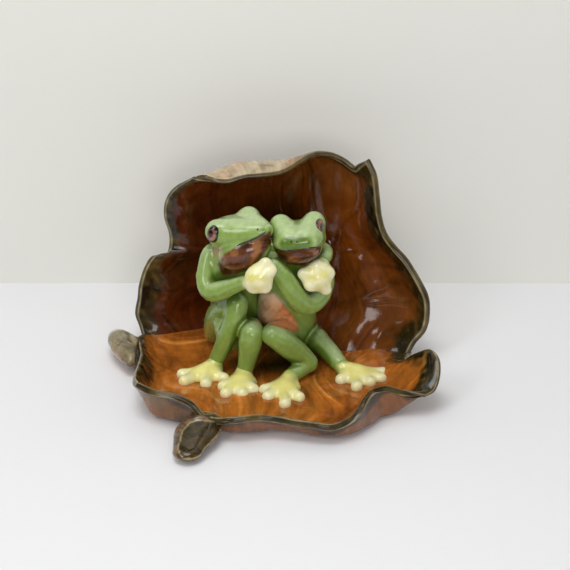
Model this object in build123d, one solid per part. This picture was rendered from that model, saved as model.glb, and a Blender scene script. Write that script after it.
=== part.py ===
from build123d import *
import math
import os

# A glazed ceramic figurine: two frogs hug inside a folded autumn leaf.
# Millimetres, +Z up, the viewer in front at -Y. The origin is the middle of the flat foot.
# Every piece is modelled by hand in clay, luted to its neighbours with slip, glazed and fired.

# The leaf, over all
LEAF_WIDTH = 171.0
LEAF_DEPTH = 134.0
HOOD_HEIGHT = 103.0
RIM_HEIGHT = 10.0

# The rolled-out slab that the leaf is folded from
FLOOR_WALL = 4.6
RIM_WALL = 3.2
FOOT_GRIND = 0.4
SEAT_LEDGE = 6.5
HOOD_SINK = 1.6
HOOD_BULGE = 11.0
LIP_RISE = 11.0

# The stalk in front, with a dished top, and the lobe that curls out at the left
STALK_WIDTH = 21.0
STALK_THICKNESS = 10.0
STALK_GROOVE_RADIUS = 7.5
STALK_GROOVE_DEPTH = 2.6
LOBE_WIDTH = 24.0
LOBE_THICKNESS = 11.0

# The pair of frogs, over all
PAIR_WIDTH = 70.0
PAIR_DEPTH = 76.0
PAIR_HEIGHT = 85.0

# Sizes of the bodies
TORSO_HALF_WIDTH = 14.0
TORSO_HALF_DEPTH = 13.5
LEFT_HEAD_HALF_WIDTH = 11.8
LEFT_HEAD_HALF_HEIGHT = 8.6
RIGHT_HEAD_HALF_WIDTH = 13.2
RIGHT_HEAD_HALF_HEIGHT = 9.2
EYE_BUMP_RADIUS = 4.9
EYE_BALL_RADIUS = 3.5
THROAT_LENGTH = 14.0
THROAT_WIDTH = 9.2
THROAT_DEPTH = 9.6
CHIN_WIDTH = 11.6
CHIN_LENGTH = 9.6
CHIN_DEPTH = 7.6

# Sizes of the limbs
ARM_RADIUS = 3.7
LEFT_THIGH_RADIUS = 6.8
RIGHT_THIGH_RADIUS = 6.6
SHIN_RADIUS = 4.9
TARSUS_RADIUS = 4.7
PALM_RADIUS = 8.2
PALM_THICKNESS = 3.4
TOE_RADIUS = 3.2
TOE_PAD_RADIUS = 3.2
HAND_RADIUS = 6.6
HAND_THICKNESS = 3.6
FINGER_RADIUS = 3.2
FINGER_PAD_RADIUS = 2.7

# The floor of the leaf stands on its foot, and the frogs sit on the floor
FLOOR_TOP = FLOOR_WALL - FOOT_GRIND
GROUND_BLOCK = LEAF_WIDTH * 2

# Outline of the leaf as shares of its width, its depth and the rim's height above the floor
CREASE_SHARES = [
    (-0.448, 0.332), (-0.396, 0.354), (-0.335, 0.394), (-0.282, 0.430), (-0.200, 0.492),
    (-0.105, 0.520), (0.018, 0.455), (0.111, 0.336), (0.181, 0.220), (0.275, 0.231), (0.366, 0.149),
]
LEFT_RIM_SHARES = [
    (-0.453, 0.321, 0.080), (-0.460, 0.250, 0.480), (-0.446, 0.148, 0.780), (-0.432, 0.054, 0.980),
    (-0.431, -0.024, 1.080), (-0.432, -0.106, 1.230), (-0.429, -0.186, 1.430), (-0.415, -0.264, 1.580),
]
FRONT_RIM_SHARES = [
    (-0.378, -0.295, 1.600), (-0.330, -0.320, 1.580), (-0.285, -0.340, 1.480),
    (-0.247, -0.356, 1.180), (-0.216, -0.372, 0.650), (-0.181, -0.418, 0.850),
    (-0.140, -0.433, 1.000), (-0.047, -0.414, 0.980), (0.041, -0.433, 0.830),
    (0.117, -0.446, 0.730), (0.164, -0.418, 0.780), (0.199, -0.358, 1.080), (0.234, -0.287, 1.380),
    (0.279, -0.257, 1.380), (0.322, -0.254, 1.180), (0.360, -0.260, 0.950),
]
RIGHT_RIM_SHARES = [
    (0.390, 0.192, 0.100), (0.374, 0.118, 0.250), (0.366, 0.052, 0.450), (0.380, -0.015, 0.980),
    (0.405, -0.067, 1.850), (0.425, -0.097, 2.200), (0.440, -0.142, 2.050), (0.440, -0.192, 1.500),
    (0.424, -0.238, 1.000), (0.394, -0.260, 0.800),
]

# Edges of the hood as shares of the leaf's width, its depth and the hood's height
HOOD_LEFT_SHARES = [
    (-0.457, 0.336, 0.053), (-0.467, 0.343, 0.113), (-0.459, 0.354, 0.192), (-0.453, 0.363, 0.267),
    (-0.433, 0.373, 0.365), (-0.404, 0.381, 0.430), (-0.366, 0.418, 0.435), (-0.360, 0.433, 0.503),
    (-0.374, 0.433, 0.605), (-0.369, 0.425, 0.697), (-0.337, 0.396, 0.786), (-0.278, 0.358, 0.868),
]
HOOD_TOP_SHARES = [
    (-0.228, 0.315, 0.857), (-0.173, 0.299, 0.857), (-0.114, 0.311, 0.872), (-0.029, 0.333, 0.875),
    (0.015, 0.370, 0.885), (0.047, 0.400, 0.905), (0.091, 0.430, 0.937), (0.135, 0.434, 0.932),
    (0.172, 0.426, 0.910), (0.206, 0.404, 0.878), (0.223, 0.370, 0.922),
]
HOOD_RIGHT_SHARES = [
    (0.390, 0.157, 0.076), (0.422, 0.164, 0.153), (0.428, 0.179, 0.260), (0.417, 0.190, 0.328),
    (0.368, 0.224, 0.455), (0.327, 0.246, 0.530), (0.295, 0.276, 0.600), (0.279, 0.291, 0.690),
    (0.272, 0.306, 0.785), (0.264, 0.321, 0.890), (0.241, 0.336, 0.966),
]

# How much of the dish each wall takes, from its edge inwards
LEFT_WALL_SHARE = 0.09
RIGHT_WALL_SHARE = 0.15
FRONT_WALL_SHARE = 0.10

# The middle lines of the stalk and the lobe, with width and thickness as shares of their own
STALK_SHARES = [
    (-0.222, -0.373, 0.18, 0.90, 1.00), (-0.240, -0.425, 0.13, 1.00, 0.95),
    (-0.251, -0.478, 0.05, 0.82, 0.85), (-0.260, -0.526, -0.02, 0.66, 0.76),
]
LOBE_SHARES = [
    (-0.455, 0.157, 0.24, 0.80, 0.80), (-0.482, 0.176, 0.42, 1.00, 1.00),
    (-0.500, 0.188, 0.50, 0.86, 0.92),
]

# Bodies as shares of the pair's width, depth and height, then of their own half sizes
LEFT_TORSO_SHARES = [
    (-0.343, 0.487, -0.012, 0.72, 0.70), (-0.347, 0.487, 0.092, 1.00, 0.98),
    (-0.361, 0.434, 0.256, 0.97, 0.94), (-0.386, 0.355, 0.445, 0.87, 0.84),
    (-0.403, 0.276, 0.598, 0.74, 0.73), (-0.400, 0.211, 0.704, 0.56, 0.58),
    (-0.386, 0.171, 0.774, 0.44, 0.48),
]
RIGHT_TORSO_SHARES = [
    (0.043, 0.434, -0.012, 0.72, 0.70), (0.036, 0.434, 0.092, 1.04, 0.98),
    (0.010, 0.350, 0.256, 1.12, 1.22), (0.012, 0.295, 0.421, 1.02, 1.13),
    (0.043, 0.276, 0.574, 0.84, 0.80), (0.071, 0.224, 0.680, 0.70, 0.68),
    (0.086, 0.184, 0.751, 0.52, 0.56),
]

# A head runs from the nape to the tip of the snout, wide at the cheeks
LEFT_NAPE_SHARE = (-0.514, 0.243, 0.827)
LEFT_SNOUT_SHARE = (-0.117, -0.004, 0.939)
RIGHT_NAPE_SHARE = (0.123, 0.316, 0.792)
RIGHT_SNOUT_SHARE = (0.075, -0.060, 0.880)
LEFT_HEAD_SHARES = [
    (0.00, 0.30, 0.34), (0.06, 0.58, 0.66), (0.18, 0.86, 0.92), (0.35, 1.00, 1.00),
    (0.52, 0.96, 0.92), (0.70, 0.78, 0.74), (0.86, 0.56, 0.54), (0.96, 0.32, 0.34),
    (1.00, 0.12, 0.14),
]
RIGHT_HEAD_SHARES = [
    (0.00, 0.28, 0.32), (0.06, 0.56, 0.62), (0.18, 0.84, 0.90), (0.35, 1.00, 1.00), (0.52, 1.00, 0.94),
    (0.70, 0.96, 0.83), (0.86, 0.85, 0.67), (0.96, 0.62, 0.45), (1.00, 0.34, 0.22),
]
LEFT_THROAT_SHARE = (-0.279, 0.047, 0.795)
RIGHT_THROAT_SHARE = (0.093, 0.072, 0.804)
LEFT_EYE_BUMP_SHARES = [(-0.474, 0.092, 0.899), (-0.254, 0.224, 0.934)]
LEFT_EYE_BALL_SHARES = [(-0.494, 0.066, 0.894), (-0.226, 0.272, 0.930)]
RIGHT_EYE_BUMP_SHARES = [(-0.029, 0.164, 0.906), (0.203, 0.171, 0.922)]
RIGHT_EYE_BALL_SHARES = [(-0.048, 0.158, 0.902), (0.238, 0.142, 0.912)]

# Each mouth is cut along a flat that its line lies in
LEFT_MOUTH_SHARE = (-0.233, -0.039, 0.894)
RIGHT_MOUTH_SHARE = (0.069, -0.066, 0.844)
LEFT_MOUTH_DOWN = (0.458, -0.375, -0.805)
RIGHT_MOUTH_DOWN = (0.030, -0.420, -0.907)
LEFT_THROAT_TILT = -25

# Limbs as shares of the pair's width, depth and height, then of the limb's radius
LEFT_OUTER_ARM_SHARES = [
    (-0.462, 0.290, 0.690, 1.35), (-0.524, 0.240, 0.705, 1.25), (-0.553, 0.197, 0.639, 1.30),
    (-0.560, 0.145, 0.553, 1.36), (-0.528, 0.105, 0.517, 1.40), (-0.453, 0.059, 0.538, 1.34),
    (-0.376, 0.013, 0.583, 1.14), (-0.285, -0.036, 0.635, 0.95),
]
LEFT_INNER_ARM_SHARES = [
    (-0.314, 0.316, 0.633, 1.15), (-0.200, 0.395, 0.656, 1.05), (-0.057, 0.428, 0.674, 1.00),
    (0.086, 0.414, 0.686, 1.00), (0.200, 0.368, 0.698, 0.98), (0.286, 0.276, 0.711, 0.92),
    (0.293, 0.171, 0.715, 0.86), (0.257, 0.092, 0.704, 0.80),
]
RIGHT_OUTER_ARM_SHARES = [
    (0.243, 0.263, 0.633, 1.30), (0.290, 0.204, 0.562, 1.24), (0.272, 0.138, 0.494, 1.20),
    (0.215, 0.078, 0.457, 1.32), (0.149, 0.034, 0.457, 1.40), (0.077, -0.004, 0.526, 1.42),
    (0.021, -0.022, 0.606, 1.40), (-0.028, -0.033, 0.684, 1.28), (-0.075, -0.038, 0.730, 1.05),
]
RIGHT_INNER_ARM_SHARES = [
    (-0.071, 0.329, 0.621, 1.20), (-0.157, 0.421, 0.604, 1.10), (-0.271, 0.487, 0.580, 1.00),
    (-0.386, 0.493, 0.556, 0.95), (-0.471, 0.454, 0.539, 0.90), (-0.529, 0.395, 0.527, 0.85),
]
LEFT_OUTER_THIGH_SHARES = [
    (-0.521, 0.447, 0.098, 0.98), (-0.496, 0.382, 0.162, 1.16), (-0.464, 0.289, 0.268, 1.22),
    (-0.412, 0.184, 0.362, 1.04), (-0.357, 0.105, 0.427, 0.82),
]
LEFT_OUTER_SHIN_SHARES = [
    (-0.336, 0.089, 0.439, 1.05), (-0.357, 0.066, 0.362, 1.12), (-0.400, 0.061, 0.268, 1.05),
    (-0.450, 0.072, 0.162, 0.92), (-0.497, 0.088, 0.074, 0.80), (-0.514, 0.088, 0.025, 0.74),
]
LEFT_INNER_THIGH_SHARES = [
    (-0.286, 0.395, 0.092, 0.90), (-0.264, 0.263, 0.174, 0.95), (-0.247, 0.132, 0.251, 0.92),
    (-0.237, 0.026, 0.288, 0.82),
]
LEFT_INNER_SHIN_SHARES = [
    (-0.237, -0.008, 0.286, 1.20), (-0.248, -0.013, 0.235, 1.24), (-0.262, -0.006, 0.156, 1.06),
    (-0.281, -0.012, 0.074, 0.86), (-0.290, -0.022, 0.025, 0.76),
]
RIGHT_INNER_THIGH_SHARES = [
    (0.100, 0.368, 0.086, 0.92), (0.050, 0.237, 0.174, 0.98), (-0.014, 0.105, 0.251, 0.95),
    (-0.071, 0.020, 0.280, 0.85),
]
RIGHT_INNER_SHIN_SHARES = [
    (-0.094, -0.021, 0.284, 1.10), (-0.029, -0.008, 0.240, 1.22), (0.054, 0.024, 0.168, 1.25),
    (0.129, 0.055, 0.098, 1.12), (0.166, 0.066, 0.060, 1.02),
]
RIGHT_INNER_TARSUS_SHARES = [
    (0.166, 0.061, 0.056, 1.00), (0.114, 0.007, 0.047, 0.95), (0.060, -0.053, 0.038, 0.86),
    (0.017, -0.112, 0.026, 0.78),
]
RIGHT_OUTER_THIGH_SHARES = [
    (0.114, 0.434, 0.086, 0.92), (0.179, 0.375, 0.099, 0.95), (0.236, 0.303, 0.106, 0.88),
]
RIGHT_OUTER_SHIN_SHARES = [
    (0.236, 0.296, 0.106, 1.15), (0.286, 0.230, 0.092, 1.10), (0.350, 0.145, 0.066, 0.98),
    (0.403, 0.076, 0.040, 0.84), (0.429, 0.039, 0.026, 0.76),
]

# Feet and hands: the middle of the palm, then the tip of each toe or finger
LEFT_OUTER_FOOT_SHARES = [
    (-0.567, 0.034, 0.006), (-0.743, 0.006, 0.006), (-0.721, -0.088, 0.006), (-0.565, -0.122, 0.006),
    (-0.443, -0.048, 0.006),
]
LEFT_INNER_FOOT_SHARES = [
    (-0.315, -0.109, 0.006), (-0.438, -0.160, 0.006), (-0.416, -0.248, 0.006), (-0.300, -0.252, 0.006),
    (-0.226, -0.195, 0.006),
]
RIGHT_INNER_FOOT_SHARES = [
    (-0.004, -0.170, 0.006), (-0.142, -0.200, 0.006), (-0.118, -0.290, 0.006), (0.000, -0.385, 0.006),
    (0.098, -0.300, 0.006),
]
RIGHT_OUTER_FOOT_SHARES = [
    (0.512, 0.016, 0.006), (0.403, -0.066, 0.006), (0.510, -0.166, 0.006), (0.609, -0.106, 0.006),
    (0.692, -0.052, 0.006), (0.706, 0.030, 0.006),
]
LEFT_OUTER_HAND_SHARES = [
    (-0.179, -0.112, 0.695), (-0.133, -0.108, 0.780), (-0.096, -0.120, 0.742), (-0.134, -0.120, 0.632),
    (-0.221, -0.111, 0.628),
]
LEFT_INNER_HAND_SHARES = [
    (0.226, 0.011, 0.646), (0.124, 0.011, 0.664), (0.220, 0.030, 0.704), (0.311, 0.039, 0.659),
    (0.290, 0.011, 0.563), (0.176, -0.018, 0.603),
]
RIGHT_INNER_HAND_SHARES = [
    (-0.557, 0.362, 0.509), (-0.593, 0.289, 0.445), (-0.571, 0.355, 0.415),
]

# The rounded end of a limb: how far out each ring stands, as a share of the radius
DOME_SHARES = [0.97, 0.80, 0.45]
TAPER_SHARE = 0.82
STRAIGHT_SHARE = 0.09

# Where along its edges the hood is hollowest and its lip stands highest
HOLLOW_SHARE = 0.59
LIP_SIDE_SHARE = 0.36
LIP_HEIGHT_SHARE = 0.85

# How finely the folded slab is drawn
COLUMNS = 24
ROWS = 16
SURFACE_FIT = 0.3


def leaf_spots(shares, height):
    """Points given as shares of the leaf, set on its floor."""
    return [Vector(x * LEAF_WIDTH, y * LEAF_DEPTH, FLOOR_TOP + z * height) for x, y, z in shares]


def pair_spot(share):
    """A point given as shares of the pair of frogs, set on the floor that they sit on."""
    x, y, z = share[:3]
    return Vector(x * PAIR_WIDTH, y * PAIR_DEPTH, FLOOR_TOP + z * PAIR_HEIGHT)


def path_through(points):
    """A smooth path through points, read by the share of its length."""
    marks = [0.0]
    for start, end in zip(points, points[1:]):
        marks.append(marks[-1] + (end - start).length)
    slopes = []
    for index in range(len(points)):
        before = max(index - 1, 0)
        after = min(index + 1, len(points) - 1)
        slopes.append((points[after] - points[before]) / (marks[after] - marks[before]))

    def read(share):
        distance = share * marks[-1]
        index = max(k for k in range(len(points) - 1) if k == 0 or marks[k] <= distance)
        run = marks[index + 1] - marks[index]
        t = (distance - marks[index]) / run
        near = 2 * t**3 - 3 * t**2 + 1
        leave = (t**3 - 2 * t**2 + t) * run
        arrive = (t**3 - t**2) * run
        ends = points[index] * near + points[index + 1] * (1 - near)
        return ends + slopes[index] * leave + slopes[index + 1] * arrive

    return read


def patch(first, last, left, right):
    """The surface between four paths, read by the shares across it and along it."""
    def read(across, along):
        ends = first(across) * (1 - along) + last(across) * along
        sides = left(along) * (1 - across) + right(along) * across
        near = first(0) * (1 - across) + first(1) * across
        far = last(0) * (1 - across) + last(1) * across
        return ends + sides - near * (1 - along) - far * along

    return read


def ease(share):
    """A step from 0 to 1 with soft ends."""
    share = min(max(share, 0.0), 1.0)
    return share * share * (3 - 2 * share)


def bent(share, middle_share):
    """A share from 0 to 1, bent so that the middle one becomes a half."""
    return share ** (math.log(2) / -math.log(middle_share))


def crease_points():
    """The line where the hood rises from the floor."""
    return [Vector(x * LEAF_WIDTH, y * LEAF_DEPTH, FLOOR_TOP) for x, y in CREASE_SHARES]


def ledge_points(start, end):
    """The back edge of the floor, one ledge behind the crease."""
    crease = crease_points()
    ledge = [start]
    for before, here, after in zip(crease, crease[1:], crease[2:]):
        run = (after - before).normalized()
        ledge.append(here + Vector(-run.Y, run.X, 0) * SEAT_LEDGE)
    return ledge + [end]


def dish_wall(across, along):
    """How far up its wall a spot of the dish lies, from 0 on the floor to 1 at the rim."""
    flat = 1 - ease(1 - across / LEFT_WALL_SHARE)
    flat *= 1 - ease(1 - (1 - across) / RIGHT_WALL_SHARE)
    flat *= 1 - ease(1 - (1 - along) / FRONT_WALL_SHARE)
    return 1 - flat


def make_dish_surface():
    """The inner face of the dish: a flat floor inside a rim that turns up."""
    left = leaf_spots(LEFT_RIM_SHARES, RIM_HEIGHT)
    right = leaf_spots(RIGHT_RIM_SHARES, RIM_HEIGHT)
    front = [left[-1]] + leaf_spots(FRONT_RIM_SHARES, RIM_HEIGHT) + [right[-1]]
    back = ledge_points(left[0], right[0])
    spread = patch(path_through(back), path_through(front), path_through(left), path_through(right))

    def read(across, along):
        spot = spread(across, along)
        lift = dish_wall(across, along)
        return Vector(spot.X, spot.Y, FLOOR_TOP + (spot.Z - FLOOR_TOP) * lift)

    return read


def make_hood_surface():
    """The inner face of the hood: hollow towards the viewer, its top edge curled forward."""
    base = [spot - Vector(0, 0, HOOD_SINK) for spot in crease_points()]
    left = [base[0]] + leaf_spots(HOOD_LEFT_SHARES, HOOD_HEIGHT)
    right = [base[-1]] + leaf_spots(HOOD_RIGHT_SHARES, HOOD_HEIGHT)
    top = [left[-1]] + leaf_spots(HOOD_TOP_SHARES, HOOD_HEIGHT) + [right[-1]]
    spread = patch(path_through(base), path_through(top), path_through(left), path_through(right))

    def read(across, along):
        hollow = math.sin(math.pi * across) * math.sqrt(math.sin(math.pi * bent(along, HOLLOW_SHARE)))
        side_wave = math.sin(math.pi * bent(across, LIP_SIDE_SHARE))
        curl = side_wave**2 * math.sin(math.pi * bent(along, LIP_HEIGHT_SHARE))
        return spread(across, along) + Vector(0, HOOD_BULGE * hollow, LIP_RISE * curl)

    return read


def slab(surface, wall_at):
    """A folded slab: its face, the face behind it one wall away, and the four edges between."""
    faces = []
    for side in (0, 1):
        grid = []
        for i in range(COLUMNS + 1):
            column = []
            for j in range(ROWS + 1):
                across = i / COLUMNS
                along = j / ROWS
                low = max(i - 1, 0) / COLUMNS
                high = min(i + 1, COLUMNS) / COLUMNS
                near = max(j - 1, 0) / ROWS
                far = min(j + 1, ROWS) / ROWS
                run = surface(high, along) - surface(low, along)
                rise = surface(across, far) - surface(across, near)
                facing = run.cross(rise).normalized()
                column.append(surface(across, along) + facing * wall_at(across, along) * side)
            grid.append(column)
        faces.append(Face.make_surface_from_array_of_points(grid, tol=SURFACE_FIT))
    edges = []
    for edge in faces[0].edges():
        partner = min(faces[1].edges(), key=lambda other: (other @ 0.5 - edge @ 0.5).length)
        edges.append(Face.make_surface_from_curves(edge, partner))
    return Solid(Shell(faces + edges))


def flipped(surface):
    """The same surface read from right to left, so that it faces the other way."""
    return lambda across, along: surface(1 - across, along)


def skin(stations):
    """A smooth solid through ellipses, each with its middle, its way, two half sizes and a side."""
    sections = []
    for middle, way, wide, deep, side in stations:
        across = side - way * side.dot(way)
        plane = Plane(origin=middle, x_dir=across, z_dir=way)
        sections.append(plane * Ellipse(wide, deep))
    return loft(sections)


def tube(points, radii):
    """A round limb through points, swelling and tapering, with rounded ends."""
    ways = []
    for index in range(len(points)):
        before = max(index - 1, 0)
        after = min(index + 1, len(points) - 1)
        ways.append((points[after] - points[before]).normalized())
    side = ways[0].cross(ways[-1])
    if side.length < STRAIGHT_SHARE:
        side = ways[0].cross(Vector(0, 0, 1))
    if side.length < STRAIGHT_SHARE:
        side = ways[0].cross(Vector(0, 1, 0))
    side = side.normalized()
    stations = []
    for out in DOME_SHARES:
        ring = radii[0] * math.sqrt(1 - out**2)
        stations.append((points[0] - ways[0] * out * radii[0], ways[0], ring, ring, side))
    for point, way, radius in zip(points, ways, radii):
        stations.append((point, way, radius, radius, side))
    for out in reversed(DOME_SHARES):
        ring = radii[-1] * math.sqrt(1 - out**2)
        stations.append((points[-1] + ways[-1] * out * radii[-1], ways[-1], ring, ring, side))
    return skin(stations)


def limb(shares, radius):
    """A limb of the pair, from its table of shares."""
    return tube([pair_spot(share) for share in shares], [share[3] * radius for share in shares])


def pebble(half_length, half_width, half_height):
    """An egg-shaped lump of clay, long from side to side."""
    outs = [-out for out in DOME_SHARES] + [0] + DOME_SHARES[::-1]
    stations = []
    for out in outs:
        ring = math.sqrt(1 - out**2)
        middle = Vector(out * half_length, 0, 0)
        sizes = (half_width * ring, half_height * ring)
        stations.append((middle, Vector(1, 0, 0), *sizes, Vector(0, 1, 0)))
    return skin(stations)


def largest(shape):
    """The biggest solid of a shape, as one solid."""
    return max(shape.solids(), key=lambda solid: solid.volume)


def apart(one, other):
    """Whether the boxes round two pieces are clear of each other."""
    low = [max(a, b) for a, b in zip(one.bounding_box().min, other.bounding_box().min)]
    high = [min(a, b) for a, b in zip(one.bounding_box().max, other.bounding_box().max)]
    return any(start > end for start, end in zip(low, high))


def fitted(piece, *neighbours):
    """A piece pressed against its neighbours, so that they meet face to face."""
    for neighbour in neighbours:
        if not apart(piece, neighbour):
            piece = largest(piece - neighbour)
    return piece


def torso(shares):
    """A seated body from the floor to the neck."""
    stations = []
    for share in shares:
        wide = share[3] * TORSO_HALF_WIDTH
        deep = share[4] * TORSO_HALF_DEPTH
        stations.append((pair_spot(share), Vector(0, 0, 1), wide, deep, Vector(1, 0, 0)))
    return skin(stations)


def skull(nape_share, snout_share, shares, half_width, half_height, bump_shares):
    """A head from the nape to the snout, with a bump over each eye."""
    nape = pair_spot(nape_share)
    snout = pair_spot(snout_share)
    way = (snout - nape).normalized()
    eyes = [pair_spot(share) for share in bump_shares]
    side = (eyes[1] - eyes[0]).normalized()
    stations = []
    for along, wide, high in shares:
        middle = nape + (snout - nape) * along
        stations.append((middle, way, wide * half_width, high * half_height, side))
    head = skin(stations)
    for eye in eyes:
        head = head + Pos(eye) * Sphere(EYE_BUMP_RADIUS)
    return head


def below_mouth(mouth_share, down):
    """The space under a mouth line, as one large block."""
    way = Vector(*down).normalized()
    plane = Plane(origin=pair_spot(mouth_share), z_dir=way)
    standing = (Align.CENTER, Align.CENTER, Align.MIN)
    return plane * Box(PAIR_HEIGHT, PAIR_HEIGHT, PAIR_HEIGHT, align=standing)


def digits(middle, tips, palm_sizes, root_radius, pad_radius):
    """A palm with a digit to each tip, every digit narrowing to a round pad."""
    palm = Pos(middle) * pebble(*palm_sizes)
    standing = (Align.CENTER, Align.CENTER, Align.MIN)
    lumps = []
    for tip in tips:
        run = tip - middle
        shaft = Cone(root_radius, root_radius * TAPER_SHARE, run.length, align=standing)
        lumps.append(Plane(origin=middle, z_dir=run) * shaft)
        lumps.append(Pos(tip) * Sphere(pad_radius))
    return palm.fuse(*lumps)


def foot(shares):
    """A webbed foot flat on the floor."""
    middle, *tips = [pair_spot(share) for share in shares]
    palm_sizes = (PALM_RADIUS, PALM_RADIUS, PALM_THICKNESS)
    return digits(middle, tips, palm_sizes, TOE_RADIUS, TOE_PAD_RADIUS)


def hand(shares):
    """A hand laid against a body, its palm upright."""
    middle, *tips = [pair_spot(share) for share in shares]
    palm_sizes = (HAND_RADIUS, HAND_THICKNESS, HAND_RADIUS)
    return digits(middle, tips, palm_sizes, FINGER_RADIUS, FINGER_PAD_RADIUS)


def ground():
    """Everything below the table top."""
    hanging = (Align.CENTER, Align.CENTER, Align.MAX)
    return Box(GROUND_BLOCK, GROUND_BLOCK, GROUND_BLOCK, align=hanging)


def make_dish():
    """The bottom of the leaf, thick in the floor and thin at the rim, ground flat to stand."""
    surface = make_dish_surface()

    def wall_at(across, along):
        return FLOOR_WALL + (RIM_WALL - FLOOR_WALL) * dish_wall(across, along)

    return largest(slab(surface, wall_at) - ground())


def make_hood(dish):
    """The top of the leaf, standing on the floor behind the frogs."""
    def wall_at(across, along):
        return FLOOR_WALL + (RIM_WALL - FLOOR_WALL) * ease(along)

    return fitted(slab(flipped(make_hood_surface()), wall_at), ground(), dish)


def tongue(shares, width, thickness):
    """A flat tapered tongue of clay with a rounded end."""
    points = leaf_spots([share[:3] for share in shares], RIM_HEIGHT)
    way = (points[-1] - points[0]).normalized()
    side = Vector(0, 0, 1).cross(way).normalized()
    stations = []
    for point, share in zip(points, shares):
        stations.append((point, way, share[3] * width / 2, share[4] * thickness / 2, side))
    last = stations[-1]
    for out in reversed(DOME_SHARES):
        ring = math.sqrt(1 - out**2)
        stations.append((last[0] + way * out * last[2], way, last[2] * ring, last[3] * ring, side))
    return skin(stations)


def make_stalk(dish):
    """The cut stalk, dished along its top, that rests on the table."""
    points = leaf_spots([share[:3] for share in STALK_SHARES], RIM_HEIGHT)
    middles = []
    radii = []
    for point, share in zip(points, STALK_SHARES):
        radius = share[3] * STALK_GROOVE_RADIUS
        top = share[4] * STALK_THICKNESS / 2
        middles.append(point + Vector(0, 0, top + radius - STALK_GROOVE_DEPTH))
        radii.append(radius)
    return fitted(tongue(STALK_SHARES, STALK_WIDTH, STALK_THICKNESS), ground(), dish, tube(middles, radii))


def make_lobe(dish, hood):
    """The lobe that curls out over the table at the left."""
    return fitted(tongue(LOBE_SHARES, LOBE_WIDTH, LOBE_THICKNESS), ground(), dish, hood)


def make_leaf():
    """The folded leaf: its dish, the hood behind it, the stalk in front and the lobe at the left."""
    dish = make_dish()
    hood = make_hood(dish)
    stalk = make_stalk(dish)
    lobe = make_lobe(dish, hood)
    return {"leaf_dish": dish, "leaf_hood": hood, "leaf_stalk": stalk, "leaf_lobe": lobe}


def make_torsos(leaf):
    """Two bodies, side by side on the floor."""
    right = fitted(torso(RIGHT_TORSO_SHARES), leaf["leaf_dish"], leaf["leaf_hood"])
    left = fitted(torso(LEFT_TORSO_SHARES), leaf["leaf_dish"], leaf["leaf_hood"], right)
    return {"left_frog_torso": left, "right_frog_torso": right}


def make_eyes():
    """The four eyeballs, each a glazed bead set into its head."""
    names = ("left_frog_near_eye", "left_frog_far_eye", "right_frog_far_eye", "right_frog_near_eye")
    balls = LEFT_EYE_BALL_SHARES + RIGHT_EYE_BALL_SHARES
    bumps = LEFT_EYE_BUMP_SHARES + RIGHT_EYE_BUMP_SHARES
    eyes = {}
    for name, ball_share, bump_share in zip(names, balls, bumps):
        ball = pair_spot(ball_share)
        eyes[name] = Plane(origin=ball, z_dir=ball - pair_spot(bump_share)) * Sphere(EYE_BALL_RADIUS)
    return eyes


def make_heads(torsos, eyes):
    """Two heads, each split along its mouth into a skull and a jaw."""
    bodies = list(torsos.values())
    balls = list(eyes.values())
    left_skull = skull(
        LEFT_NAPE_SHARE, LEFT_SNOUT_SHARE, LEFT_HEAD_SHARES,
        LEFT_HEAD_HALF_WIDTH, LEFT_HEAD_HALF_HEIGHT, LEFT_EYE_BUMP_SHARES,
    )
    left_throat = Rot(0, LEFT_THROAT_TILT, 0) * pebble(THROAT_LENGTH, THROAT_WIDTH, THROAT_DEPTH)
    left_throat = Pos(pair_spot(LEFT_THROAT_SHARE)) * left_throat
    left_below = below_mouth(LEFT_MOUTH_SHARE, LEFT_MOUTH_DOWN)
    left_head = fitted(left_skull, left_below, *bodies, *balls)
    left_jaw = fitted(largest((left_skull + left_throat) & left_below), *bodies)
    right_skull = skull(
        RIGHT_NAPE_SHARE, RIGHT_SNOUT_SHARE, RIGHT_HEAD_SHARES,
        RIGHT_HEAD_HALF_WIDTH, RIGHT_HEAD_HALF_HEIGHT, RIGHT_EYE_BUMP_SHARES,
    )
    right_throat = Pos(pair_spot(RIGHT_THROAT_SHARE)) * pebble(CHIN_WIDTH, CHIN_LENGTH, CHIN_DEPTH)
    right_below = below_mouth(RIGHT_MOUTH_SHARE, RIGHT_MOUTH_DOWN)
    right_head = fitted(right_skull, right_below, *bodies, left_head, left_jaw, *balls)
    right_jaw = largest((right_skull + right_throat) & right_below)
    return {
        "left_frog_head": left_head,
        "left_frog_jaw": left_jaw,
        "right_frog_head": right_head,
        "right_frog_jaw": fitted(right_jaw, *bodies, left_head, left_jaw),
    }


def make_legs(body):
    """Four folded legs, each fitted against the bodies and the legs before it."""
    left_outer = limb(LEFT_OUTER_THIGH_SHARES, LEFT_THIGH_RADIUS)
    left_outer = left_outer + limb(LEFT_OUTER_SHIN_SHARES, SHIN_RADIUS)
    left_inner = limb(LEFT_INNER_THIGH_SHARES, LEFT_THIGH_RADIUS)
    left_inner = left_inner + limb(LEFT_INNER_SHIN_SHARES, SHIN_RADIUS)
    right_inner = limb(RIGHT_INNER_THIGH_SHARES, RIGHT_THIGH_RADIUS)
    right_inner = right_inner + limb(RIGHT_INNER_SHIN_SHARES, SHIN_RADIUS)
    right_inner = right_inner + limb(RIGHT_INNER_TARSUS_SHARES, TARSUS_RADIUS)
    right_outer = limb(RIGHT_OUTER_THIGH_SHARES, RIGHT_THIGH_RADIUS)
    right_outer = right_outer + limb(RIGHT_OUTER_SHIN_SHARES, SHIN_RADIUS)
    legs = {}
    for name, leg in (
        ("left_frog_outer_leg", left_outer),
        ("left_frog_inner_leg", left_inner),
        ("right_frog_inner_leg", right_inner),
        ("right_frog_outer_leg", right_outer),
    ):
        legs[name] = fitted(leg, *body, *legs.values())
    return legs


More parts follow.
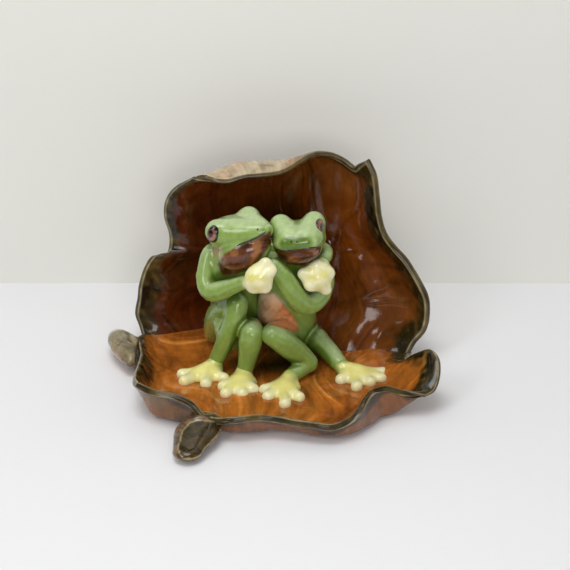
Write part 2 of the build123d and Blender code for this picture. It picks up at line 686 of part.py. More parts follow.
def make_feet(dish, legs):
    """Four webbed feet on the floor, each fitted against the one before it."""
    feet = {}
    for name, shares in (
        ("left_frog_outer_foot", LEFT_OUTER_FOOT_SHARES),
        ("left_frog_inner_foot", LEFT_INNER_FOOT_SHARES),
        ("right_frog_inner_foot", RIGHT_INNER_FOOT_SHARES),
        ("right_frog_outer_foot", RIGHT_OUTER_FOOT_SHARES),
    ):
        feet[name] = fitted(foot(shares), dish, *legs.values(), *feet.values())
    return feet


def make_arms(body):
    """Four arms round the two frogs, laid on one after another."""
    arms = {}
    for name, shares in (
        ("right_frog_outer_arm", RIGHT_OUTER_ARM_SHARES),
        ("left_frog_outer_arm", LEFT_OUTER_ARM_SHARES),
        ("left_frog_inner_arm", LEFT_INNER_ARM_SHARES),
        ("right_frog_inner_arm", RIGHT_INNER_ARM_SHARES),
    ):
        arms[name] = fitted(limb(shares, ARM_RADIUS), *body, *arms.values())
    return arms


def make_hands(body):
    """The hands that show, laid on last; the fourth is hidden under another."""
    hands = {}
    for name, shares in (
        ("left_frog_outer_hand", LEFT_OUTER_HAND_SHARES),
        ("left_frog_inner_hand", LEFT_INNER_HAND_SHARES),
        ("right_frog_inner_hand", RIGHT_INNER_HAND_SHARES),
    ):
        hands[name] = fitted(hand(shares), *body, *hands.values())
    return hands


def main():
    leaf = make_leaf()
    torsos = make_torsos(leaf)
    eyes = make_eyes()
    heads = make_heads(torsos, eyes)
    bodies = [*torsos.values(), *heads.values()]
    legs = make_legs([leaf["leaf_dish"], leaf["leaf_hood"], *torsos.values()])
    feet = make_feet(leaf["leaf_dish"], legs)
    arms = make_arms(bodies + [legs["left_frog_outer_leg"]])
    hands = make_hands(bodies + list(arms.values()))
    os.makedirs("parts", exist_ok=True)
    for group in (leaf, torsos, eyes, heads, legs, feet, arms, hands):
        for name, piece in group.items():
            export_step(piece, "parts/" + name + ".step")
            print(name, round(piece.volume, 1))


main()
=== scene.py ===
"""A glazed ceramic ornament: two green frogs hug inside a folded autumn leaf.

The frame is in metres, +Z up, with the viewer in front at -Y. Shapes are worked out in millimetres.
"""

import math

import bpy
import numpy as np
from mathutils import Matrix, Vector
from mathutils.bvhtree import BVHTree


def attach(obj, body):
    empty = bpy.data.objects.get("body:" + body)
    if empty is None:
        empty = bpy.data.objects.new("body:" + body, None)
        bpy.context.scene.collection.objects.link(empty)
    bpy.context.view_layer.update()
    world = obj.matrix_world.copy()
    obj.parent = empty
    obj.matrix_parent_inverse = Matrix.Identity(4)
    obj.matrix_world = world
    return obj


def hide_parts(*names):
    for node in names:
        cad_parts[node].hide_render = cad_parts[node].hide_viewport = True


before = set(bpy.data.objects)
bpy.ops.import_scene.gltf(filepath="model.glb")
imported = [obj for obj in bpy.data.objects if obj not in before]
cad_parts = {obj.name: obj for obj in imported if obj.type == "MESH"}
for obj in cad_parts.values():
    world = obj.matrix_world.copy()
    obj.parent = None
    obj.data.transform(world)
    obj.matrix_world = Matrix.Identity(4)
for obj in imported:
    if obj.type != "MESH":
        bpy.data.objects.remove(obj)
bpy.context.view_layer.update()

MM = 0.001
SEED = 7

# The photograph's view: a camera that looks down by 25 degrees at the middle of the pair
IMAGE_SIZE = 570
FOCAL_PIXELS = 1265.0
VIEW_DOWN = math.radians(25.0)
VIEW_REACH = 620.0
VIEW_TARGET = np.array([0.0, 0.0, 55.0])
FORWARD = np.array([0.0, math.cos(VIEW_DOWN), -math.sin(VIEW_DOWN)])
UPWARD = np.array([0.0, math.sin(VIEW_DOWN), math.cos(VIEW_DOWN)])
EYE = VIEW_TARGET - FORWARD * VIEW_REACH

# The leaf, over all
LEAF_WIDTH = 171.0
LEAF_DEPTH = 134.0
HOOD_HEIGHT = 103.0
RIM_HEIGHT = 10.0
FLOOR_TOP = 4.2
FLOOR_WALL = 4.6
RIM_WALL = 3.2
SEAT_LEDGE = 6.5
HOOD_SINK = 1.6
HOOD_BULGE = 11.0
LIP_RISE = 11.0
FILLET_REACH = 6.0
FILLET_SHARE = 0.14
STALK_WIDTH = 21.0
STALK_THICKNESS = 10.0
LOBE_MIDDLE = np.array([-85.1, 26.0, 8.4])
LOBE_HALF_SIZES = (16.4, 7.1, 5.2)
LOBE_TURN = 111.0
LOBE_FOLD = np.array([4.5, 0.0, 5.6])
LOBE_BRIDGE = (-79.0, 19.0, 7.8)
LOBE_BRIDGE_SIZES = (5.0, 14.0, 4.8)
LOBE_ROOT = -76.6

# The pair of frogs, over all, and the sizes of the bodies and limbs
PAIR_WIDTH = 70.0
PAIR_DEPTH = 76.0
PAIR_HEIGHT = 85.0
TORSO_HALF_WIDTH = 14.0
TORSO_HALF_DEPTH = 13.5
LEFT_HEAD_HALF_WIDTH = 11.8
LEFT_HEAD_HALF_HEIGHT = 8.6
RIGHT_HEAD_HALF_WIDTH = 13.2
RIGHT_HEAD_HALF_HEIGHT = 9.2
EYE_BUMP_RADIUS = 4.9
ARM_RADIUS = 3.7
LEFT_THIGH_RADIUS = 6.8
RIGHT_THIGH_RADIUS = 6.6
SHIN_RADIUS = 4.9
TARSUS_RADIUS = 4.7


def table(*rows):
    """Rows of shares that are written in thousandths."""
    return [tuple(value / 1000 for value in row) for row in rows]


# Outlines of the leaf as shares of its width, its depth and the height of its rim or hood
CREASE = table(
    (-448, 332), (-396, 354), (-335, 394), (-282, 430), (-200, 492), (-105, 520), (18, 455),
    (111, 336), (181, 220), (275, 231), (366, 149),
)
LEFT_RIM = table(
    (-453, 321, 80), (-460, 250, 480), (-446, 148, 780), (-432, 54, 980), (-431, -24, 1080),
    (-432, -106, 1230), (-429, -186, 1430), (-415, -264, 1580),
)
FRONT_RIM = table(
    (-378, -295, 1600), (-330, -320, 1580), (-285, -340, 1480), (-247, -356, 1180),
    (-216, -372, 650), (-181, -418, 850), (-140, -433, 1000), (-47, -414, 980), (41, -433, 830),
    (117, -446, 730), (164, -418, 780), (199, -358, 1080), (234, -287, 1380), (279, -257, 1380),
    (322, -254, 1180), (360, -260, 950),
)
RIGHT_RIM = table(
    (390, 192, 100), (374, 118, 250), (366, 52, 450), (380, -15, 980), (405, -67, 1850),
    (425, -97, 2200), (440, -142, 2050), (440, -192, 1500), (424, -238, 1000), (394, -260, 800),
)
HOOD_LEFT = table(
    (-457, 336, 53), (-467, 343, 113), (-459, 354, 192), (-453, 363, 267), (-433, 373, 365),
    (-404, 381, 430), (-366, 418, 435), (-360, 433, 503), (-374, 433, 605), (-369, 425, 697),
    (-337, 396, 786), (-278, 358, 868),
)
HOOD_TOP = table(
    (-228, 315, 857), (-173, 299, 857), (-114, 311, 872), (-29, 333, 875), (15, 370, 885),
    (47, 400, 905), (91, 430, 937), (135, 434, 932), (172, 426, 910), (206, 404, 878),
    (223, 370, 922),
)
HOOD_RIGHT = table(
    (390, 157, 76), (422, 164, 153), (428, 179, 260), (417, 190, 328), (368, 224, 455),
    (327, 246, 530), (295, 276, 600), (279, 291, 690), (272, 306, 785), (264, 321, 890),
    (241, 336, 966),
)
LEFT_WALL_SHARE = 0.09
RIGHT_WALL_SHARE = 0.15
FRONT_WALL_SHARE = 0.10
HOLLOW_SHARE = 0.59
LIP_SIDE_SHARE = 0.36
LIP_HEIGHT_SHARE = 0.85
# The stalk's last column is a share of its own width
STALK = table(
    (-222, -373, 180, 900), (-240, -425, 130, 1000), (-251, -478, 50, 820), (-260, -526, -20, 660),
)

# Bodies and limbs as shares of the pair's width, depth and height, then of their own sizes
LEFT_TORSO = table(
    (-343, 487, -12, 720, 700), (-347, 487, 92, 1000, 980), (-361, 434, 256, 970, 940),
    (-386, 355, 445, 870, 840), (-403, 276, 598, 740, 730), (-400, 211, 704, 560, 580),
    (-386, 171, 774, 440, 480),
)
RIGHT_TORSO = table(
    (43, 434, -12, 720, 700), (36, 434, 92, 1040, 980), (10, 350, 256, 1120, 1220),
    (12, 295, 421, 1020, 1130), (43, 276, 574, 840, 800), (71, 224, 680, 700, 680),
    (86, 184, 751, 520, 560),
)
LEFT_NAPE = (-0.514, 0.243, 0.827)
LEFT_SNOUT = (-0.117, -0.004, 0.939)
RIGHT_NAPE = (0.123, 0.316, 0.792)
RIGHT_SNOUT = (0.075, -0.060, 0.880)
LEFT_HEAD = table(
    (0, 300, 340), (60, 580, 660), (180, 860, 920), (350, 1000, 1000), (520, 960, 920),
    (700, 780, 740), (860, 560, 540), (960, 320, 340), (1000, 120, 140),
)
RIGHT_HEAD = table(
    (0, 280, 320), (60, 560, 620), (180, 840, 900), (350, 1000, 1000), (520, 1000, 940),
    (700, 960, 830), (860, 850, 670), (960, 620, 450), (1000, 340, 220), (1020, 50, 40),
)
LEFT_THROAT = (-0.279, 0.047, 0.795)
LEFT_WEB = (-0.440, 0.165, 0.250)
LEFT_SHOULDER = (-0.450, 0.250, 0.610)
RIGHT_THROAT = (0.093, 0.072, 0.804)
LEFT_EYE_BUMPS = [(-0.474, 0.092, 0.899), (-0.254, 0.224, 0.934)]
LEFT_FAR_EYE_BALL = (-0.226, 0.272, 0.930)
RIGHT_EYE_BUMPS = [(-0.029, 0.164, 0.906), (0.203, 0.171, 0.922)]
RIGHT_FAR_EYE_BALL = (-0.048, 0.158, 0.902)
LEFT_OUTER_ARM = table(
    (-462, 290, 690, 1350), (-524, 240, 705, 1250), (-553, 197, 639, 1300), (-560, 145, 553, 1360),
    (-528, 105, 517, 1400), (-453, 59, 538, 1340), (-376, 13, 583, 1140), (-285, -36, 635, 950),
)
LEFT_INNER_ARM = table(
    (-314, 316, 633, 1150), (-200, 395, 656, 1050), (-57, 428, 674, 1000), (86, 414, 686, 1000),
    (200, 368, 698, 980), (286, 276, 711, 920), (293, 171, 715, 860), (257, 92, 704, 800),
)
RIGHT_OUTER_ARM = table(
    (243, 263, 633, 1300), (290, 204, 562, 1240), (272, 138, 494, 1200), (215, 78, 457, 1320),
    (149, 34, 457, 1400), (77, -4, 526, 1420), (21, -22, 606, 1400), (-28, -33, 684, 1280),
    (-75, -38, 730, 1050),
)
RIGHT_INNER_ARM = table(
    (-71, 329, 621, 1200), (-157, 421, 604, 1100), (-271, 487, 580, 1000), (-386, 493, 556, 950),
    (-471, 454, 539, 900), (-529, 395, 527, 850),
)
LEFT_OUTER_THIGH = table(
    (-521, 447, 98, 980), (-496, 382, 162, 1160), (-464, 289, 268, 1220), (-412, 184, 362, 1040),
    (-357, 105, 427, 820),
)
LEFT_OUTER_SHIN = table(
    (-336, 89, 439, 1050), (-357, 66, 362, 1120), (-400, 61, 268, 1050), (-450, 72, 162, 920),
    (-497, 88, 74, 800), (-514, 88, 25, 740),
)
LEFT_INNER_THIGH = table(
    (-286, 395, 92, 900), (-264, 263, 174, 950), (-247, 132, 251, 920), (-237, 26, 288, 820),
)
LEFT_INNER_SHIN = table(
    (-237, -8, 286, 1200), (-248, -13, 235, 1240), (-262, -6, 156, 1060), (-281, -12, 74, 860),
    (-290, -22, 25, 760),
)
RIGHT_INNER_THIGH = table(
    (100, 368, 86, 920), (50, 237, 174, 980), (-14, 105, 251, 950), (-71, 20, 280, 850),
)
RIGHT_INNER_SHIN = table(
    (-94, -21, 284, 1100), (-29, -8, 240, 1220), (54, 24, 168, 1250), (129, 55, 98, 1120),
    (166, 66, 60, 1020),
)
RIGHT_INNER_TARSUS = table(
    (166, 61, 56, 1000), (114, 7, 47, 950), (60, -53, 38, 860), (17, -112, 26, 780),
)
RIGHT_OUTER_THIGH = table(
    (114, 434, 86, 920), (179, 375, 99, 950), (236, 303, 106, 880),
)
RIGHT_OUTER_SHIN = table(
    (236, 296, 106, 1150), (286, 230, 92, 1100), (350, 145, 66, 980), (403, 76, 40, 840),
    (429, 39, 26, 760),
)
# Feet and hands: the ankle or wrist, the middle of the palm, then the tips of the digits
FEET = {
    "left_frog_outer_foot": table(
        (-510, 75, 50), (-567, 34, 6), (-743, 6, 6), (-721, -88, 6), (-565, -122, 6),
        (-443, -48, 6),
    ),
    "left_frog_inner_foot": table(
        (-288, 30, 50), (-315, -109, 6), (-438, -160, 6), (-416, -248, 6), (-300, -252, 6),
        (-226, -195, 6),
    ),
    "right_frog_inner_foot": table(
        (35, -90, 36), (-4, -170, 6), (-142, -200, 6), (-118, -290, 6), (0, -385, 6), (98, -300, 6),
    ),
    "right_frog_outer_foot": table(
        (415, 55, 36), (512, 16, 6), (403, -66, 6), (510, -166, 6), (609, -106, 6), (692, -52, 6),
        (706, 30, 6),
    ),
}
HANDS = {
    "left_frog_outer_hand": table(
        (-285, -34, 622), (-179, -112, 695), (-133, -108, 780), (-96, -120, 742), (-134, -120, 632),
        (-221, -111, 628),
    ),
    "left_frog_inner_hand": table(
        (262, 92, 704), (226, 11, 646), (124, 11, 664), (220, 30, 704), (311, 39, 659),
        (290, 11, 563), (176, -18, 603),
    ),
    "right_frog_inner_hand": table(
        (-520, 402, 532), (-557, 362, 509), (-593, 289, 445), (-571, 355, 415),
    ),
}


# Colours, steps and noise
def colour(red, green, blue):
    """A display colour from 0 to 255 as linear light."""
    shares = np.array([red, green, blue]) / 255.0
    return np.where(shares <= 0.04045, shares / 12.92, ((shares + 0.055) / 1.055) ** 2.4)


def unit(vector):
    """Vectors at length one."""
    length = np.linalg.norm(vector, axis=-1, keepdims=True)
    return vector / np.maximum(length, 1e-9)


def ease(share):
    """A step from 0 to 1 with soft ends."""
    share = np.clip(share, 0.0, 1.0)
    return share * share * (3 - 2 * share)


def step(low, high, value):
    """A soft step of a value from 0 at low to 1 at high."""
    return ease((value - low) / (high - low))


def coated(colours, *coats):
    """Colours under coats of other colours, each coat with its share for each point."""
    for coat, share in coats:
        share = np.asarray(share)[..., None]
        colours = colours * (1 - share) + coat * share
    return colours


def waves(points, size, seed, count=10, stretch=(1.0, 1.0, 1.0)):
    """Smooth seeded noise from about -1 to 1 with features of about the given size."""
    random = np.random.RandomState(seed)
    total = np.zeros(points.shape[:-1])
    for index in range(count):
        way = random.normal(size=points.shape[-1])
        way = way / np.linalg.norm(way) * np.array(stretch[: points.shape[-1]])
        pace = (0.6 + 0.9 * random.rand()) * 2 * math.pi / size
        total += np.sin(points @ way * pace + random.rand() * 2 * math.pi)
    return total / math.sqrt(count) * 0.9


# Reading the photograph's view
def pixel_of(points):
    """Where points in millimetres lie in the photograph, in pixels."""
    local = points - EYE
    deep = local @ FORWARD
    across = IMAGE_SIZE / 2 + FOCAL_PIXELS * local[..., 0] / deep
    down = IMAGE_SIZE / 2 - FOCAL_PIXELS * (local @ UPWARD) / deep
    return np.stack([across, down], axis=-1)


def ray_of(across, down):
    """The way from the camera through a pixel."""
    way = FORWARD + np.array([1.0, 0.0, 0.0]) * (across - IMAGE_SIZE / 2) / FOCAL_PIXELS
    way = way - UPWARD * (down - IMAGE_SIZE / 2) / FOCAL_PIXELS
    return way / np.linalg.norm(way)


def near_outline(pixels, outline, soft):
    """How far inside an outline in pixels each point is: 1 inside, 0 outside, soft between."""
    outline = np.array(outline, float)
    inside = np.zeros(len(pixels), bool)
    nearest = np.full(len(pixels), 1e9)
    for start, end in zip(outline, np.roll(outline, -1, axis=0)):
        run = end - start
        local = pixels - start
        along = np.clip(local @ run / (run @ run), 0, 1)
        nearest = np.minimum(nearest, np.linalg.norm(local - along[:, None] * run, axis=1))
        crosses = (start[1] > pixels[:, 1]) != (end[1] > pixels[:, 1])
        rise = end[1] - start[1] if end[1] != start[1] else 1e-9
        at = start[0] + (pixels[:, 1] - start[1]) * run[0] / rise
        inside ^= crosses & (pixels[:, 0] < at)
    signed = np.where(inside, nearest, -nearest)
    return step(-soft, soft, signed)


# Paths and the surface between them
def path_through(points):
    """A smooth path through points, read by an array of shares of its length."""
    points = np.array(points, float)
    runs = np.linalg.norm(np.diff(points, axis=0), axis=1)
    marks = np.concatenate([[0.0], np.cumsum(runs)])
    before = np.maximum(np.arange(len(points)) - 1, 0)
    after = np.minimum(np.arange(len(points)) + 1, len(points) - 1)
    slopes = (points[after] - points[before]) / (marks[after] - marks[before])[:, None]

    def read(share):
        distance = np.asarray(share) * marks[-1]
        index = np.clip(np.searchsorted(marks, distance, side="right") - 1, 0, len(points) - 2)
        run = runs[index]
        t = (distance - marks[index]) / run
        near = (2 * t**3 - 3 * t**2 + 1)[..., None]
        leave = ((t**3 - 2 * t**2 + t) * run)[..., None]
        arrive = ((t**3 - t**2) * run)[..., None]
        ends = points[index] * near + points[index + 1] * (1 - near)
        return ends + slopes[index] * leave + slopes[index + 1] * arrive

    return read


def patch(first, last, left, right):
    """The surface between four paths, read by shares across it and along it."""
    def read(across, along):
        a = across[..., None]
        b = along[..., None]
        ends = first(across) * (1 - b) + last(across) * b
        sides = left(along) * (1 - a) + right(along) * a
        near = first(0.0) * (1 - a) + first(1.0) * a
        far = last(0.0) * (1 - a) + last(1.0) * a
        return ends + sides - near * (1 - b) - far * b

    return read


def bent(share, middle_share):
    """A share from 0 to 1, bent so that the middle one becomes a half."""
    return share ** (math.log(2) / -math.log(middle_share))


def leaf_spots(shares, height):
    """Points given as shares of the leaf, set on its floor."""
    return [(x * LEAF_WIDTH, y * LEAF_DEPTH, FLOOR_TOP + z * height) for x, y, z in shares]


def pair_spot(share):
    """A point given as shares of the pair of frogs, set on the floor that they sit on."""
    x, y, z = share[:3]
    return np.array([x * PAIR_WIDTH, y * PAIR_DEPTH, FLOOR_TOP + z * PAIR_HEIGHT])


# Meshes
def add_object(name, data):
    """A new object of the scene."""
    item = bpy.data.objects.new(name, data)
    bpy.context.scene.collection.objects.link(item)
    return item


def make_mesh(name, points, faces, smooth=True):
    """A mesh object from points in millimetres."""
    mesh = bpy.data.meshes.new(name)
    faces = [list(map(int, face)) for face in faces]
    mesh.from_pydata((np.asarray(points) * MM).tolist(), [], faces)
    mesh.validate()
    if smooth:
        mesh.polygons.foreach_set("use_smooth", [True] * len(mesh.polygons))
    mesh.update()
    return add_object(name, mesh)


def paint(piece, colours):
    """Stores a colour for each point of a piece."""
    layer = piece.data.color_attributes.new(name="paint", type="FLOAT_COLOR", domain="POINT")
    full = np.ones((len(piece.data.vertices), 4))
    full[:, :3] = np.clip(colours, 0.0, 1.0)
    layer.data.foreach_set("color", full.ravel())


def store_spread(piece, values):
    """Stores where each point lies on the spread-out slab, which the streaks follow."""
    layer = piece.data.attributes.new(name="spread", type="FLOAT_VECTOR", domain="POINT")
    layer.data.foreach_set("vector", values.ravel())


# The folded leaf
RIM_SHARES = (0.011, 0.013)
FACING_REACH = 0.004
FACING_ROUNDS = 6
DISH_COUNTS = (230, 190)
HOOD_COUNTS = (240, 200)


def edge_shares(count, rim_share):
    """Shares from 0 to 1, close together near both ends so that a rim comes out round."""
    rims = np.array([0.0, 0.04, 0.16, 0.36, 0.64, 1.0, 1.5, 2.2]) * rim_share
    middle = np.linspace(rims[-1], 1 - rims[-1], count)[1:-1]
    return np.concatenate([rims, middle, 1 - rims[::-1]])


def slab_piece(name, surface, wall_at, relief, free_edges, counts, shade):
    """A folded slab of clay with a rounded rim, its faces displaced by the same relief."""
    shares = [edge_shares(*facts) for facts in zip(counts, RIM_SHARES)]
    across, along = np.meshgrid(*shares, indexing="ij")
    spot = surface(across, along)
    low, high = np.maximum(across - FACING_REACH, 0), np.minimum(across + FACING_REACH, 1)
    near, far = np.maximum(along - FACING_REACH, 0), np.minimum(along + FACING_REACH, 1)
    run = surface(high, along) - surface(low, along)
    rise = surface(across, far) - surface(across, near)
    facing = unit(np.cross(run, rise))
    for turn in range(FACING_ROUNDS):
        padded = np.pad(facing, ((1, 1), (1, 1), (0, 0)), mode="edge")
        facing = unit(
            padded[:-2, 1:-1] + padded[2:, 1:-1] + padded[1:-1, :-2] + padded[1:-1, 2:] + facing * 2
        )
    edges = {"left": spot[:1], "right": spot[-1:], "end": spot[:, -1:], "start": spot[:, :1]}
    distance = np.full(across.shape, 1e3)
    for edge in free_edges:
        distance = np.minimum(distance, np.linalg.norm(spot - edges[edge], axis=-1))
    half = wall_at(across, along) / 2
    profile = np.sqrt(np.clip(1 - (1 - np.clip(distance / half, 0, 1)) ** 2, 0, 1))
    middle = spot + facing * (half + relief(across, along, spot, distance))[..., None]
    bulk = facing * (half * profile)[..., None]
    points = np.concatenate([(middle - bulk).reshape(-1, 3), (middle + bulk).reshape(-1, 3)])
    points[:, 2] = np.maximum(points[:, 2], 0.0)
    count = across.size
    index = np.arange(count).reshape(across.shape)
    a, b = index[:-1, :-1].ravel(), index[1:, :-1].ravel()
    c, d = index[1:, 1:].ravel(), index[:-1, 1:].ravel()
    faces = list(zip(a, d, c, b)) + list(zip(a + count, b + count, c + count, d + count))
    for line in (index[:, 0], index[::-1, -1], index[-1, :], index[0, ::-1]):
        faces += [(start, end, end + count, start + count) for start, end in zip(line, line[1:])]
    piece = make_mesh(name, points, faces)
    side = np.repeat([0.0, 1.0], count)
    shade(piece, points, side, *(np.tile(facts.ravel(), 2) for facts in (across, along, distance)))
    return piece


def dish_flatness(across, along):
    """How flat the dish lies: 1 on its floor, 0 at its free rims."""
    flat = 1 - ease(1 - across / LEFT_WALL_SHARE)
    flat = flat * (1 - ease(1 - (1 - across) / RIGHT_WALL_SHARE))
    return flat * (1 - ease(1 - (1 - along) / FRONT_WALL_SHARE))


def slab_wall(thinned):
    """The thickness of the slab, from the floor's to the rim's."""
    return FLOOR_WALL + (RIM_WALL - FLOOR_WALL) * thinned


def dish_surface():
    """The inner face of the dish: a flat floor inside a rim that turns up."""
    left = leaf_spots(LEFT_RIM, RIM_HEIGHT)
    right = leaf_spots(RIGHT_RIM, RIM_HEIGHT)
    front = [left[-1]] + leaf_spots(FRONT_RIM, RIM_HEIGHT) + [right[-1]]
    crease = np.array([(x * LEAF_WIDTH, y * LEAF_DEPTH, FLOOR_TOP) for x, y in CREASE])
    ledge = [left[0]]
    for before, here, after in zip(crease, crease[1:], crease[2:]):
        run = unit(after - before)
        ledge.append(tuple(here + np.array([-run[1], run[0], 0]) * SEAT_LEDGE))
    ledge.append(right[0])
    spread = patch(*(path_through(points) for points in (ledge, front, left, right)))

    def read(across, along):
        spot = spread(across, along)
        rise = (spot[..., 2] - FLOOR_TOP) * (1 - dish_flatness(across, along))
        spot[..., 2] = FLOOR_TOP + rise
        return spot

    return read


def hood_surface():
    """The inner face of the hood: hollow towards the viewer, its top edge curled forward."""
    base = [(x * LEAF_WIDTH, y * LEAF_DEPTH, FLOOR_TOP - HOOD_SINK) for x, y in CREASE]
    left = [base[0]] + leaf_spots(HOOD_LEFT, HOOD_HEIGHT)
    right = [base[-1]] + leaf_spots(HOOD_RIGHT, HOOD_HEIGHT)
    top = [left[-1]] + leaf_spots(HOOD_TOP, HOOD_HEIGHT) + [right[-1]]
    base_path = path_through(base)
    spread = patch(base_path, path_through(top), path_through(left), path_through(right))

    def read(across, along):
        low, high = np.maximum(across - 0.02, 0), np.minimum(across + 0.02, 1)
        run = unit(base_path(high) - base_path(low))
        toward = np.stack([run[..., 1], -run[..., 0], np.zeros(across.shape)], axis=-1)
        fillet = FILLET_REACH * np.clip(1 - along / FILLET_SHARE, 0, 1) ** 3
        fillet = fillet * step(0.0, 0.08, across) * step(0.0, 0.08, 1 - across)
        deep = np.clip(np.sin(math.pi * bent(along, HOLLOW_SHARE)), 0, 1)
        hollow = np.sin(math.pi * across) * np.sqrt(deep)
        side_wave = np.sin(math.pi * bent(across, LIP_SIDE_SHARE))
        curl = side_wave**2 * np.sin(math.pi * bent(along, LIP_HEIGHT_SHARE))
        spot = spread(across, along)
        spot[..., 1] += HOOD_BULGE * hollow
        spot[..., 2] += LIP_RISE * curl
        return spot + toward * fillet[..., None]

    return read


def leaf_strokes(across, along, seed, lines):
    """Streaks that run along the leaf, as brush strokes do."""
    bend = 0.10 * np.sin(across * 9 + along * 3) + 0.05 * np.sin(along * 11 + across * 4)
    grid = np.stack([(across + bend) * lines, along * 2.2], axis=-1)
    return waves(grid, 1.0, seed, count=16)


def vein_lines(across, along, root, ribs):
    """How close each spot is to a vein, from 0 to 1: soft ribs that fan from a root and fork."""
    near = np.zeros(across.shape)
    way_across = across - root[0]
    way_along = along - root[1]
    reach = np.hypot(way_across, way_along)
    turn = np.arctan2(way_across, way_along)
    for angle, curve, fork in ribs:
        width = 0.016 * (1.3 - 0.7 * np.clip(reach, 0, 1))
        gap = (turn - angle - curve * reach) * np.maximum(reach, 0.05)
        near = np.maximum(near, np.exp(-((gap / width) ** 2)))
        split = np.maximum(reach - fork, 0)
        for side in (-0.55, 0.48):
            branch = np.exp(-(((gap - side * split) / (width * 0.8)) ** 2))
            branch = branch * step(0.0, 0.05, split)
            near = np.maximum(near, 0.7 * branch * (1 - step(0.25, 0.5, split)))
    return near * step(0.02, 0.10, reach)


# Veins: the root in shares of the slab, then each rib's turn, its curve and where it forks
DISH_ROOT = (0.40, 1.04)
DISH_RIBS = [
    (math.pi - 0.95, 0.25, 0.30), (math.pi - 0.42, 0.12, 0.45), (-math.pi + 0.02, 0.0, 0.35),
    (-math.pi + 0.50, -0.15, 0.50), (-math.pi + 1.0, -0.2, 0.30),
]
HOOD_ROOT = (0.47, -0.06)
HOOD_RIBS = [
    (-0.75, -0.15, 0.42), (-0.36, -0.12, 0.60), (-0.02, 0.05, 0.75), (0.34, 0.12, 0.52),
    (0.70, 0.15, 0.38),
]


def dish_relief(across, along, spot, distance):
    """Pressed veins, soft folds of the floor and the wavy rim."""
    swell = waves(spot, 34.0, SEED + 1) * 0.40
    veins = vein_lines(across, along, DISH_ROOT, DISH_RIBS) * -0.35
    rim = waves(spot, 16.0, SEED + 3) * 0.35
    inner = (swell + veins) * step(2.0, 14.0, distance) * step(0.0, 0.12, along)
    return inner + rim * step(0.05, 0.3, along)


def hood_relief(across, along, spot, distance):
    """Pressed veins and soft folds of the hood."""
    swell = waves(spot, 38.0, SEED + 4) * 0.75
    veins = vein_lines(across, along, HOOD_ROOT, HOOD_RIBS) * -0.45
    rim = waves(spot, 18.0, SEED + 6) * 0.4
    calm = np.exp(-(((across - 0.84) / 0.13) ** 2) - ((along - 0.08) / 0.16) ** 2)
    inner = (swell + veins) * (1 - 0.85 * calm) * step(2.0, 16.0, distance) * step(0.0, 0.1, along)
    return inner + rim * step(0.02, 0.2, along)


# The colours of the leaf
OUTSIDE_TAN = colour(120, 94, 66)
OUTSIDE_PINK = colour(134, 78, 38)
OUTSIDE_DARK = colour(44, 37, 22)
LIP_TAN = colour(186, 168, 138)
LIP_PINK = colour(180, 132, 100)
RIM_LINE = colour(178, 162, 122)
LOBE_TAN = colour(140, 126, 92)
OLIVE = colour(58, 47, 20)
OLIVE_DARK = colour(18, 14, 8)
OLIVE_PALE = colour(92, 78, 42)
FLOOR_ORANGE = colour(176, 102, 36)
FLOOR_DEEP = colour(88, 40, 8)
FLOOR_PALE = colour(228, 148, 68)
HOOD_BROWN = colour(108, 52, 10)
HOOD_RED = colour(74, 28, 8)
# Near-black brown, for dark streaks and for the painted shade behind the heads
HOOD_DEEP = colour(20, 5, 1)
HOOD_WARM = colour(112, 62, 22)


